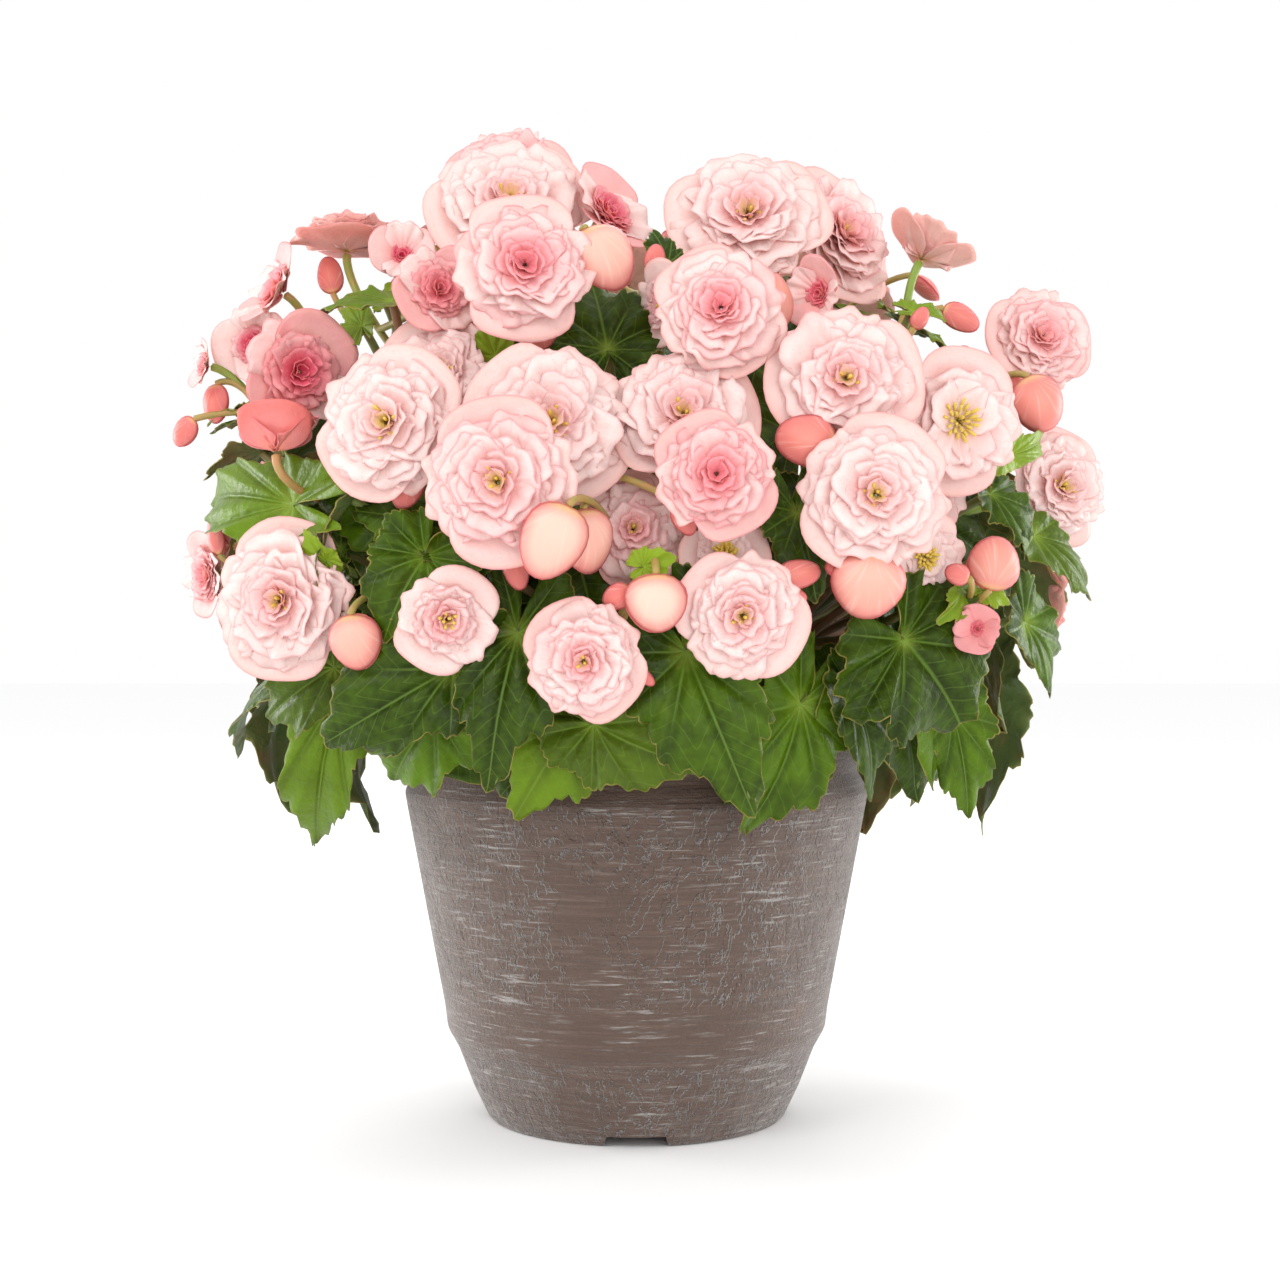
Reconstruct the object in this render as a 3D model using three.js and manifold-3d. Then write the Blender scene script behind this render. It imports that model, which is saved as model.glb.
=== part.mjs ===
// A potted begonia: a double-flowered pink plant in a whitewashed resin pot.
// Millimetres, +Z up, +X to the viewer's right, -Y towards the viewer.
// The origin is the middle of the pot's flat foot, on the surface that it stands on.
import * as THREE from "three";
import { mergeVertices } from "three/addons/utils/BufferGeometryUtils.js";
import Module from "manifold-3d";

const wasm = await Module();
wasm.setup();

// ---------------------------------------------------------------- driving dimensions

const GAP = 0.35; // left between two pieces that would touch

const POT_FACETS = 24;
const POT_FLOOR = 6.5;
// [radius, height] of the outside from the foot up to the rim, then of the inside back down to the floor.
const POT_OUTSIDE = [
  [45.6, 0],
  [50.1, 9.3],
  [54.9, 21.7],
  [58.2, 27.5],
  [59.0, 34],
  [70.7, 96],
  [71.3, 99.8],
  [67.9, 106],
  [68.8, 115],
];
const POT_INSIDE = [
  [65.6, 115],
  [65.0, 104],
  [55.4, 33],
  [51.4, 22],
  [42.8, POT_FLOOR],
];
const CHANNEL = { width: 17, footWidth: 19.5, height: 3.2, start: 18, depth: 60, count: 4 };
const DRAIN = { radius: 4, from: 24, facets: 8, length: 20 };

// The soil's [radius, height] from where it meets the pot in to the middle of its top, above its level.
const SOIL = { level: 103, crown: 3, facets: 12, lump: 1.1 };
const SOIL_TOP = [
  [63.2, -3],
  [60, 0],
  [36, SOIL.crown],
  [0, SOIL.crown],
];

const STEM = { foot: 82, radius: 3.4, topRadius: 2.4, sides: 6, steps: 3 };
const STALKS = { lowest: 112, belowTop: 3, aside: 1.4 }; // where stalks leave a stem
// Seven leafy stems leave the soil at foot, [x, y], and reach top, [x, y, z]: one in the middle and
// one for each sixth of the plant round it.
const STEMS = {
  centre: { foot: [0, 0], top: [0, -4, 216] },
  front: { foot: [0, -24], top: [2, -56, 170] },
  front_left: { foot: [-22, -12], top: [-58, -30, 172] },
  front_right: { foot: [22, -12], top: [58, -30, 172] },
  back: { foot: [0, 24], top: [-2, 54, 170] },
  back_left: { foot: [-22, 12], top: [-56, 32, 172] },
  back_right: { foot: [22, 12], top: [56, 32, 172] },
};
const CROWN = { radius: 64, height: 222 }; // sprays inside and above this grow from the centre stem

// The places of the front blooms and leaves were read off a level view of the plant, as
// [across, down] in that view's pixels. The eye is in front of the pot, and one pixel spans
// MM_PER_PIXEL at the pot's axis.
const EYE = new THREE.Vector3(1.1, -617, 145.7);
const VIEW_CENTRE = [640, 640];
const MM_PER_PIXEL = 0.31;

// The shell that the blooms sit on is an ellipsoid over the pot.
const DOME = { centre: new THREE.Vector3(0, 0, 162), radii: new THREE.Vector3(134, 108, 124) };

// ---------------------------------------------------------------- the plant's front, read off the view

// A bloom faces turn degrees to the viewer's right and tilt degrees up. Its two large petals lie
// along roll, anticlockwise from the viewer's right. It is wide mm across, and lift mm outside the
// dome. open is 1 for a full bloom and less for one whose petals still stand up.
// A bud's seam plane is set the same way, and it points along roll.
const SPRAYS = {
  top_left: {
    blooms: [
      { seen: [506, 166], wide: 40, turn: -4, tilt: 34, roll: 4, lift: -30, open: 1 },
      { seen: [510, 196], wide: 51, turn: 4, tilt: 28, roll: 28, lift: 2, open: 1 },
      { seen: [525, 263], wide: 41, turn: 5, tilt: 8, roll: 90, lift: 12, open: 1 },
    ],
    buds: [{ seen: [537, 328], long: 14, wide: 12, turn: 0, tilt: -20, roll: -100, lift: -8 }],
  },
  top_mid: {
    blooms: [{ seen: [612, 208], wide: 34, turn: 48, tilt: 30, roll: 70, lift: -6, open: 0.7 }],
    buds: [
      { seen: [604, 258], long: 19, wide: 18, turn: 20, tilt: 10, roll: -60, lift: 4 },
    ],
  },
  upper_left: {
    blooms: [
      { seen: [347, 236], wide: 36, turn: -12, tilt: 96, roll: 90, lift: 4, open: 0.8 },
      { seen: [402, 253], wide: 24, turn: 8, tilt: 18, roll: 0, lift: 0, open: 0.55 },
      { seen: [441, 288], wide: 29, turn: 20, tilt: 12, roll: 40, lift: 0, open: 0.8 },
    ],
    buds: [],
  },
  left: {
    blooms: [
      { seen: [253, 345], wide: 28, turn: -12, tilt: 0, roll: 8, lift: 6, open: 0.7 },
      { seen: [302, 372], wide: 37, turn: 30, tilt: -8, roll: 60, lift: 2, open: 0.85 },
      { seen: [271, 286], wide: 31, turn: -58, tilt: 26, roll: 70, lift: -4, open: 0.7 },
    ],
    buds: [],
  },
  left_edge: {
    blooms: [{ seen: [201, 364], wide: 17, turn: -60, tilt: 10, roll: 60, lift: -4, open: 0.7 }],
    buds: [
      { seen: [216, 404], long: 12, wide: 9, turn: -20, tilt: 0, roll: -90, lift: 4 },
      { seen: [185, 432], long: 10, wide: 8, turn: -20, tilt: 0, roll: -130, lift: -4 },
    ],
  },
  left_cup: {
    blooms: [{ seen: [276, 436], wide: 34, turn: 8, tilt: 100, roll: 90, lift: 4, open: 0.35 }],
    buds: [],
  },
  mid_left: {
    blooms: [
      { seen: [384, 421], wide: 43, turn: -14, tilt: 2, roll: 48, lift: 8, open: 1 },
      { seen: [440, 368], wide: 37, turn: -4, tilt: 20, roll: -28, lift: -9, open: 1 },
    ],
    buds: [{ seen: [407, 488], long: 12, wide: 9, turn: 0, tilt: 0, roll: -110, lift: -4 }],
  },
  mid: {
    blooms: [
      { seen: [551, 420], wide: 46, turn: 8, tilt: 10, roll: -38, lift: 2, open: 1 },
      { seen: [496, 481], wide: 44, turn: -8, tilt: 0, roll: 97, lift: 16, open: 1 },
    ],
    buds: [{ seen: [516, 570], long: 11, wide: 7, turn: 0, tilt: 0, roll: -75, lift: -4 }],
  },
  mid_low: {
    blooms: [{ seen: [634, 528], wide: 32, turn: 10, tilt: 6, roll: 100, lift: -14, open: 1 }],
    buds: [
      { seen: [552, 541], long: 20, wide: 17, turn: 6, tilt: -6, roll: -115, lift: 15 },
      { seen: [587, 541], long: 17, wide: 15, turn: 30, tilt: -6, roll: -80, lift: 2 },
    ],
  },
  mid_right: {
    blooms: [
      { seen: [717, 473], wide: 34, turn: 4, tilt: 4, roll: -60, lift: 12, open: 1 },
      { seen: [684, 411], wide: 41, turn: 0, tilt: 18, roll: 12, lift: -3, open: 1 },
    ],
    buds: [],
  },
  heart: {
    blooms: [
      { seen: [721, 306], wide: 37, turn: 0, tilt: 10, roll: -55, lift: 8, open: 1 },
      { seen: [659, 303], wide: 26, turn: -56, tilt: -4, roll: 80, lift: -10, open: 0.8 },
    ],
    buds: [],
  },
  top_right: {
    blooms: [
      { seen: [748, 209], wide: 48, turn: -2, tilt: 22, roll: 14, lift: 2, open: 1 },
      { seen: [847, 229], wide: 46, turn: 40, tilt: 22, roll: 82, lift: -3, open: 1 },
      { seen: [816, 293], wide: 24, turn: -50, tilt: 0, roll: 70, lift: 2, open: 0.6 },
    ],
    buds: [{ seen: [776, 300], long: 15, wide: 12, turn: 40, tilt: 0, roll: 100, lift: 0 }],
  },
  right_upper: {
    blooms: [{ seen: [847, 377], wide: 43, turn: 4, tilt: 5, roll: 4, lift: 8, open: 1 }],
    buds: [],
  },
  far_upper: {
    blooms: [{ seen: [928, 248], wide: 34, turn: 112, tilt: 57, roll: 66, lift: 4, open: 0.6 }],
    buds: [
      { seen: [961, 318], long: 12, wide: 8, turn: 0, tilt: 0, roll: -30, lift: 0 },
    ],
  },
  far_right: {
    blooms: [{ seen: [1044, 335], wide: 35, turn: 14, tilt: 12, roll: 4, lift: 0, open: 1 }],
    buds: [
      { seen: [1038, 404], long: 17, wide: 16, turn: 10, tilt: 0, roll: -70, lift: 6 },
    ],
  },
  right_open: {
    blooms: [{ seen: [962, 420], wide: 41, turn: 14, tilt: 0, roll: 80, lift: 4, open: 1 }],
    buds: [],
  },
  right: {
    blooms: [
      { seen: [877, 494], wide: 43, turn: 4, tilt: 0, roll: 62, lift: 12, open: 1 },
      { seen: [939, 487], wide: 25, turn: 30, tilt: 0, roll: 80, lift: -14, open: 0.8 },
    ],
    buds: [
      { seen: [805, 440], long: 16, wide: 14, turn: -6, tilt: 0, roll: 170, lift: 2 },
    ],
  },
  right_edge: {
    blooms: [{ seen: [1066, 486], wide: 37, turn: 26, tilt: 4, roll: 82, lift: 0, open: 1 }],
    buds: [],
  },
  right_low: {
    blooms: [{ seen: [927, 557], wide: 26, turn: 14, tilt: -4, roll: 88, lift: -8, open: 0.9 }],
    buds: [
      { seen: [868, 585], long: 18, wide: 19, turn: 0, tilt: -10, roll: -95, lift: 6 },
    ],
  },
  far_low: {
    blooms: [{ seen: [977, 629], wide: 18, turn: -12, tilt: 0, roll: 70, lift: 0, open: 0.45 }],
    buds: [
      { seen: [994, 563], long: 15, wide: 15, turn: 10, tilt: 0, roll: 80, lift: 2 },
    ],
  },
  low_mid: {
    blooms: [
      { seen: [743, 616], wide: 36, turn: 4, tilt: -4, roll: -32, lift: 6, open: 1 },
      { seen: [725, 553], wide: 25, turn: 0, tilt: 26, roll: 10, lift: -10, open: 0.9 },
    ],
    buds: [
      { seen: [799, 574], long: 13, wide: 8, turn: 20, tilt: 10, roll: 10, lift: -1 },
    ],
  },
  low_centre: {
    blooms: [],
    buds: [
      { seen: [656, 603], long: 15, wide: 16, turn: 0, tilt: 0, roll: -90, lift: 8 },
    ],
  },
  low_front: {
    blooms: [{ seen: [583, 662], wide: 33, turn: -6, tilt: -8, roll: -50, lift: 10, open: 1 }],
    buds: [],
  },
  low_left: {
    blooms: [
      { seen: [277, 601], wide: 45, turn: -18, tilt: -4, roll: 84, lift: 4, open: 1 },
      { seen: [203, 574], wide: 28, turn: -52, tilt: -4, roll: 88, lift: -4, open: 0.8 },
    ],
    buds: [{ seen: [216, 534], long: 13, wide: 6, turn: -20, tilt: 0, roll: 100, lift: -4 }],
  },
  low_side: {
    blooms: [
      { seen: [448, 620], wide: 31, turn: 14, tilt: -12, roll: 60, lift: 4, open: 0.8 },
      { seen: [399, 634], wide: 17, turn: -20, tilt: -30, roll: 80, lift: -6, open: 0.6 },
    ],
    buds: [{ seen: [356, 642], long: 15, wide: 14, turn: -6, tilt: -6, roll: -80, lift: 4 }],
  },
};

// A leaf joins its stalk at base and runs to tip, lift mm outside the dome at each. It is wide mm
// across, and twist degrees turns it about its rib. side is 1 or -1: which half is the larger.
const LEAVES = [
  { base: [293, 505], tip: [212, 503], wide: 30, lift: [-8, -6], twist: 10, side: 1 },
  { base: [262, 452], tip: [208, 474], wide: 15, lift: [-12, -6], twist: 30, side: -1 },
  { base: [262, 424], tip: [214, 432], wide: 17, lift: [-16, -12], twist: 0, side: 1 },
  { base: [395, 512], tip: [312, 486], wide: 24, lift: [-14, -14], twist: -10, side: 1 },
  { base: [342, 550], tip: [290, 522], wide: 24, lift: [-14, -9], twist: 0, side: 1 },
  { base: [326, 560], tip: [304, 531], wide: 9, lift: [-3, 3], twist: 0, side: -1 },
  { base: [425, 556], tip: [384, 636], wide: 32, lift: [-4, 2], twist: -8, side: 1 },
  { base: [466, 540], tip: [357, 516], wide: 26, lift: [-13, -8], twist: 30, side: -1 },
  { base: [351, 500], tip: [319, 590], wide: 10, lift: [-6, -2], twist: 62, side: 1 },
  { base: [330, 592], tip: [318, 664], wide: 18, lift: [-10, -6], twist: 0, side: 1 },
  { base: [334, 668], tip: [268, 718], wide: 26, lift: [-14, -4], twist: 0, side: 1 },
  { base: [338, 692], tip: [318, 838], wide: 27, lift: [-20, -6], twist: -34, side: -1 },
  { base: [290, 674], tip: [238, 754], wide: 17, lift: [-16, -2], twist: 48, side: 1 },
  { base: [452, 668], tip: [327, 742], wide: 34, lift: [-6, 4], twist: 0, side: -1 },
  { base: [436, 712], tip: [392, 781], wide: 32, lift: [-16, -14], twist: 0, side: 1 },
  { base: [518, 633], tip: [490, 777], wide: 34, lift: [-8, 6], twist: 0, side: 1 },
  { base: [572, 718], tip: [520, 808], wide: 33, lift: [-20, -12], twist: 0, side: 1 },
  { base: [594, 724], tip: [697, 765], wide: 30, lift: [-10, -2], twist: 0, side: -1 },
  { base: [686, 652], tip: [748, 801], wide: 40, lift: [-8, 4], twist: 0, side: -1 },
  { base: [800, 704], tip: [748, 832], wide: 32, lift: [-16, -8], twist: 0, side: 1 },
  { base: [852, 694], tip: [870, 791], wide: 22, lift: [-14, -10], twist: -14, side: 1 },
  { base: [903, 640], tip: [958, 724], wide: 50, lift: [-10, -4], twist: 0, side: -1 },
  { base: [952, 712], tip: [965, 812], wide: 22, lift: [-18, -6], twist: 30, side: 1 },
  { base: [1024, 622], tip: [1046, 691], wide: 21, lift: [-8, -4], twist: 0, side: 1 },
  { base: [1034, 536], tip: [1086, 596], wide: 20, lift: [-8, -4], twist: 0, side: -1 },
  { base: [990, 494], tip: [1028, 556], wide: 24, lift: [-12, -8], twist: 0, side: 1 },
  { base: [796, 512], tip: [812, 596], wide: 26, lift: [-10, -10], twist: 0, side: 1 },
  { base: [962, 588], tip: [938, 620], wide: 12, lift: [-6, 0], twist: 0, side: 1 },
  { base: [905, 326], tip: [951, 366], wide: 17, lift: [-14, -10], twist: 0, side: 1 },
  { base: [668, 264], tip: [652, 232], wide: 11, lift: [-8, -4], twist: 0, side: 1 },
  { base: [608, 350], tip: [592, 284], wide: 32, lift: [-20, -16], twist: 0, side: 1 },
  { base: [392, 302], tip: [314, 318], wide: 16, lift: [-1, 5], twist: 20, side: 1 },
  { base: [495, 356], tip: [486, 318], wide: 12, lift: [-14, -8], twist: 0, side: -1 },
  { base: [792, 432], tip: [768, 348], wide: 22, lift: [-18, -16], twist: 0, side: 1 },
];

// ---------------------------------------------------------------- the plant's back, by rule

// Rows round the back, from just behind one side to the other: elevation on the dome in degrees, and count.
const BACK_BLOOMS = [
  { elevation: -2, count: 5, margin: 22 },
  { elevation: 26, count: 4, margin: 28 },
  { elevation: 54, count: 3, margin: 32 },
];
const BACK_LEAVES = [
  { elevation: -14, count: 7, margin: 14, reach: 50 },
  { elevation: 12, count: 5, margin: 22, reach: 44 },
  { elevation: 36, count: 3, margin: 36, reach: 42 },
];
// How far the draws carry a back bloom or leaf from its row: shifts, turns and twists are in degrees.
const BACK = {
  shift: 8,
  bloomLift: 6,
  bloomWidth: [36, 46],
  fullShare: 0.75,
  halfOpen: 0.7,
  leafLift: [-14, -6],
  fall: 0.3, // degrees down the dome for each mm of the leaf's length
  turn: 14,
  twist: 20,
  spread: 0.2,
  leafWidth: 0.84,
};
const SEED = 7;

// ---------------------------------------------------------------- forms

// A bloom, as shares of its radius: each ring's petals, how far they reach, how high their edges
// stand, how far out the notches between them lie, how much their edges wave, and the height of
// the ring's root. A small bloom has only the first two rings.
const GUARD = { notch: 0.5, large: { half: 50, reach: 1 }, small: { half: 40, reach: 0.84 } };
const RINGS = [
  { petals: 5, reach: 0.7, rise: 0.2, root: 0.06, notch: 0.44, wave: 0.06, start: 12, square: true },
  { petals: 4, reach: 0.46, rise: 0.38, root: 0.2, notch: 0.24, wave: 0, start: 40, square: false },
  { petals: 3, reach: 0.26, rise: 0.5, root: 0.32, notch: 0.12, wave: 0, start: 0, square: false },
];
const HEART_HEIGHT = [0, 0, 0.34, 0.46]; // by the number of rings
// How much higher and narrower the petals of an unopened bloom stand, times 1 - open.
const STANDING = { guard: 0.75, guardNarrow: 0.5, ring: 0.8, ringNarrow: 0.45, heart: 0.3 };
const SMALL_BLOOM = 42; // mm wide
const ROOT_RADIUS = 0.1;
const THICKER = 2.6; // how many times a grown petal's growth it is thicker on each face
const BLOOM_MIDDLE = 0.12; // of its width, from its root out to its middle
const BLOOM_BACK = 1.4; // mm, from the guard petals' root back to the stalk
const BUD_THICKNESS = 0.7; // of its width

// A leaf, as shares of its length or half width: its side lobes' reach, how far its teeth are cut,
// how much larger its fuller half is, how it arches, folds and waves, and how far out its crest is.
// Degrees from its tip: point is how wide the tip is, front how far the crest's folds spread, and
// sinus where the notch at its stalk begins.
const LEAF = {
  thickness: 1.8, // mm, at the rib
  teeth: 8,
  fewTeeth: 6,
  lobe: 0.56,
  cut: 0.8,
  point: 34,
  fuller: 1.08,
  sinus: 164,
  sinusDepth: -0.08,
  arch: 0.45,
  fold: 0.1,
  wave: 0.06,
  middle: 0.42,
  front: 70,
};

const SMALL_LEAF = 23; // mm wide
const LEAF_UNDER = 0.4; // of its length, from a leaf down to where its stalk turns

const PEDICEL = { radius: 1.1, endRadius: 1.43, sides: 3, steps: 2 };
const PEDUNCLE = { radius: 1.4, sides: 3, steps: 2 };
const PETIOLE = { radius: 1.3, endRadius: 1.56, sides: 3, steps: 2 };
const BEHIND_BLOOM = 12; // where a stalk's curve turns, behind its bloom
const BEHIND_BUD = 8; // and behind and inwards of its bud
const LEAST_BEHIND = 12; // from a bloom back to its spray's fork
const FORK_DEPTH = 30; // from a spray's blooms in to its fork
const UNDER_DEPTH = 39; // and in to where the stalk below its fork turns
const CURVE_STEPS = 40;
const BRANCH_STEP = 0.14; // along the first stalk of a spray, from one of its branches to the next

const COLOURS = {
  pot: 0x6e625d,
  soil: 0x2c211a,
  leafyStem: 0x3c5a1e,
  bloom: 0xf2c9c6,
};

// ---------------------------------------------------------------- solids

const vec = (x, y, z) => new THREE.Vector3(x, y, z);
const rad = THREE.MathUtils.degToRad;
const UP = vec(0, 0, 1);

function solidOf(geometry) {
  const bare = geometry.clone();
  bare.deleteAttribute("normal");
  bare.deleteAttribute("uv");
  const merged = mergeVertices(bare, 1e-4);
  const mesh = new wasm.Mesh({
    numProp: 3,
    vertProperties: merged.attributes.position.array,
    triVerts: new Uint32Array(merged.index.array),
  });
  return new wasm.Manifold(mesh);
}

function solidFrom(points, triangles) {
  const mesh = new wasm.Mesh({
    numProp: 3,
    vertProperties: new Float32Array(points.flatMap((p) => [p.x, p.y, p.z])),
    triVerts: new Uint32Array(triangles.flat()),
  });
  return new wasm.Manifold(mesh);
}

function geometryOf(solid) {
  const mesh = solid.getMesh();
  const geometry = new THREE.BufferGeometry();
  geometry.setAttribute("position", new THREE.BufferAttribute(mesh.vertProperties, 3));
  geometry.setIndex(new THREE.BufferAttribute(mesh.triVerts, 1));
  return geometry;
}

function largest(solid) {
  const bodies = solid.decompose();
  return bodies.reduce((best, body) => (body.volume() > best.volume() ? body : best), bodies[0]);
}

function lathe(profile, facets) {
  const points = profile.map(([r, z]) => new THREE.Vector2(r, z));
  return new THREE.LatheGeometry(points, facets).rotateX(Math.PI / 2);
}

// The closed surface through a stack of loops, each a list of { at, angle } in order of angle.
// Neighbouring loops may differ in number, and the first and last may shrink to a point or a line.
function skin(loops) {
  const points = [...new Set(loops.flat().map((corner) => corner.at))];
  const indexOf = new Map(points.map((point, index) => [point, index]));
  const triangles = [];
  const addTriangle = (...corners) => {
    const triangle = corners.map((corner) => indexOf.get(corner.at));
    if (new Set(triangle).size === 3) triangles.push(triangle);
  };
  for (let level = 0; level + 1 < loops.length; level += 1) {
    const [lower, upper] = [loops[level], loops[level + 1]];
    let [i, j] = [0, 0];
    while (i < lower.length || j < upper.length) {
      const [a, b] = [lower[i % lower.length], upper[j % upper.length]];
      if (j === upper.length || (i < lower.length && angleAfter(lower, i) <= angleAfter(upper, j))) {
        i += 1;
        addTriangle(a, lower[i % lower.length], b);
      } else {
        j += 1;
        addTriangle(a, upper[j % upper.length], b);
      }
    }
  }
  return solidFrom(points, triangles);
}

function angleAfter(loop, i) {
  return i + 1 < loop.length ? loop[i + 1].angle : loop[0].angle + 360;
}

// The loops of a tube of a few sides along a curve, from its closed start. Its corners are turned
// so that at its end the first one lies towards the axis given.
function tubeLoops(curve, endAxis, radius, endRadius, { sides, steps }, grow) {
  const spread = grow / Math.cos(Math.PI / sides);
  const loops = [];
  let normal = endAxis.clone();
  for (let step = steps; step >= 0; step -= 1) {
    const tangent = curve.getTangent(step / steps);
    normal = normal.clone().addScaledVector(tangent, -normal.dot(tangent)).normalize();
    const across = tangent.clone().cross(normal);
    const centre = curve.getPoint(step / steps);
    const r = THREE.MathUtils.lerp(radius, endRadius, step / steps) + spread;
    const loop = Array.from({ length: sides }, (_, side) => {
      const angle = (360 * side) / sides;
      const at = centre.clone().addScaledVector(normal, r * Math.cos(rad(angle)));
      return { at: at.addScaledVector(across, r * Math.sin(rad(angle))), angle };
    });
    loops.unshift(loop);
  }
  const start = curve.getPoint(0).addScaledVector(curve.getTangent(0), -grow);
  return [[{ at: start, angle: 0 }], ...loops];
}

function stalk(curve, radius, endRadius, shape, grow) {
  const tangent = curve.getTangent(1);
  const across = tangent.clone().cross(Math.abs(tangent.z) < 0.9 ? UP : vec(1, 0, 0)).normalize();
  const end = curve.getPoint(1).addScaledVector(tangent, grow);
  return skin([...tubeLoops(curve, across, radius, endRadius, shape, grow), [{ at: end, angle: 0 }]]);
}

// ---------------------------------------------------------------- places

// Where the line of sight through a pixel meets the dome, grown by lift, or comes closest to it.
function onDome([across, down], lift) {
  const along = vec(
    (across - VIEW_CENTRE[0]) * MM_PER_PIXEL,
    -EYE.y,
    (VIEW_CENTRE[1] - down) * MM_PER_PIXEL,
  );
  const radii = DOME.radii.clone().addScalar(lift);
  const from = EYE.clone().sub(DOME.centre).divide(radii);
  const step = along.clone().divide(radii);
  const a = step.lengthSq();
  const b = from.dot(step);
  const inside = b * b - a * (from.lengthSq() - 1);
  const t = (-b - Math.sqrt(Math.max(inside, 0))) / a;
  return EYE.clone().addScaledVector(along, t);
}

// The point of the dome at an azimuth, anticlockwise from the viewer's right, and an elevation, in degrees.
function domePoint(azimuth, elevation, lift) {
  const flat = Math.cos(rad(elevation));
  const [x, y] = [flat * Math.cos(rad(azimuth)), flat * Math.sin(rad(azimuth))];
  const direction = vec(x, y, Math.sin(rad(elevation)));
  return direction.multiply(DOME.radii.clone().addScalar(lift)).add(DOME.centre);
}

const outwardAt = (point) => point.clone().sub(DOME.centre).divide(DOME.radii).divide(DOME.radii).normalize();

// A piece's own axes: z faces the given way, and x lies along roll, anticlockwise from the right as faced.
function facing(forward, roll) {
  const right = UP.clone().cross(forward).normalize();
  const above = forward.clone().cross(right);
  const x = right.multiplyScalar(Math.cos(rad(roll))).addScaledVector(above, Math.sin(rad(roll)));
  return { x, y: forward.clone().cross(x), z: forward };
}

function facingView({ turn, tilt, roll }) {
  const flat = Math.cos(rad(tilt));
  const forward = vec(flat * Math.sin(rad(turn)), -flat * Math.cos(rad(turn)), Math.sin(rad(tilt)));
  return facing(forward, roll);
}

function local(at, axes, x, y, z) {
  return at.clone().addScaledVector(axes.x, x).addScaledVector(axes.y, y).addScaledVector(axes.z, z);
}

function seededDraws(seed) {
  let state = seed;
  return () => {
    state = (state * 16807) % 2147483647;
    return state / 2147483647;
  };
}

// ---------------------------------------------------------------- the bloom, bud and leaf

// The two large petals lie along x and the two small frilled ones along y.
function guardRim(open) {
  const stand = (1 - open) * STANDING.guard;
  const narrow = 1 - (1 - open) * STANDING.guardNarrow;
  return [GUARD.large, GUARD.small, GUARD.large, GUARD.small].flatMap(({ half, reach }, quarter) => {
    const frilled = quarter % 2 === 1;
    const notch = { angle: quarter * 90 - half, reach: GUARD.notch * narrow, rise: stand * 0.3 };
    const edge = [-0.66, 0, 0.66].map((share, i) => {
      const wave = frilled ? 0.05 * (i % 2 ? 1 : -1) : -0.03;
      const round = Math.sqrt(1 - 0.5 * share * share);
      return { angle: quarter * 90 + share * half, reach: reach * round * narrow, rise: stand + wave };
    });
    return [notch, ...edge];
  });
}

function ringRim({ petals, reach, rise, notch, wave, start, square }, open) {
  const pitch = 360 / petals;
  const narrow = 1 - (1 - open) * STANDING.ringNarrow;
  const height = rise + (1 - open) * STANDING.ring;
  return Array.from({ length: petals }, (_, petal) => petal).flatMap((petal) => {
    const from = start + petal * pitch;
    const curl = petal % 2 ? wave : -wave;
    const edge = square ? [[0.28, curl], [0.72, -curl]] : [[0.5, 0]];
    return [
      { angle: from, reach: notch * narrow, rise: height },
      ...edge.map(([share, lift]) => {
        return { angle: from + share * pitch, reach: reach * narrow, rise: height + lift };
      }),
    ];
  });
}

// A bloom on its stalk: the guard petals, then each ring of petals, rise from one narrow root. A
// grown bloom's petals are longer and thicker along their own slope, and the grooves between rings
// are less deep.
function bloomSolid({ at, axes, wide, open, stalkCurve }, grow) {
  const radius = wide / 2;
  const corner = ({ angle, reach, rise }, out, up) => {
    const r = reach * radius + out;
    const [x, y] = [r * Math.cos(rad(angle)), r * Math.sin(rad(angle))];
    return { angle, at: local(at, axes, x, y, rise * radius + up) };
  };
  const petals = (rim, root) => {
    const faces = grow ? [-THICKER * grow, THICKER * grow] : [0];
    return faces.map((above) => {
      return rim.map((point) => {
        const slope = Math.atan2(point.rise - root, point.reach);
        const [along, up] = [Math.cos(slope), Math.sin(slope)];
        return corner(point, 2 * grow * along - above * up, above * along);
      });
    });
  };
  const groove = (root, lower, upper) => {
    const rims = [...lower, ...upper];
    const reach = rims.reduce((sum, point) => sum + point.reach, 0) / rims.length;
    const rise = rims.reduce((sum, point) => sum + point.rise, 0) / rims.length;
    const slope = Math.atan2(rise - root, reach);
    const [out, up] = [2 * grow * Math.cos(slope), 2 * grow * Math.sin(slope)];
    return [0, 120, 240].map((angle) => corner({ angle, reach: ROOT_RADIUS, rise: root }, out, up));
  };
  const tube = tubeLoops(stalkCurve, axes.x, PEDICEL.radius, PEDICEL.endRadius, PEDICEL, grow);
  let rim = guardRim(open);
  const loops = [...tube, ...petals(rim, 0)];
  const rings = RINGS.slice(0, wide < SMALL_BLOOM ? 2 : 3);
  for (const ring of rings) {
    const next = ringRim(ring, open);
    loops.push(groove(ring.root, rim, next), ...petals(next, ring.root));
    rim = next;
  }
  const heart = HEART_HEIGHT[rings.length] + (1 - open) * STANDING.heart;
  loops.push([corner({ angle: 0, reach: 0, rise: heart }, 0, 2 * grow)]);
  return skin(loops);
}

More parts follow.
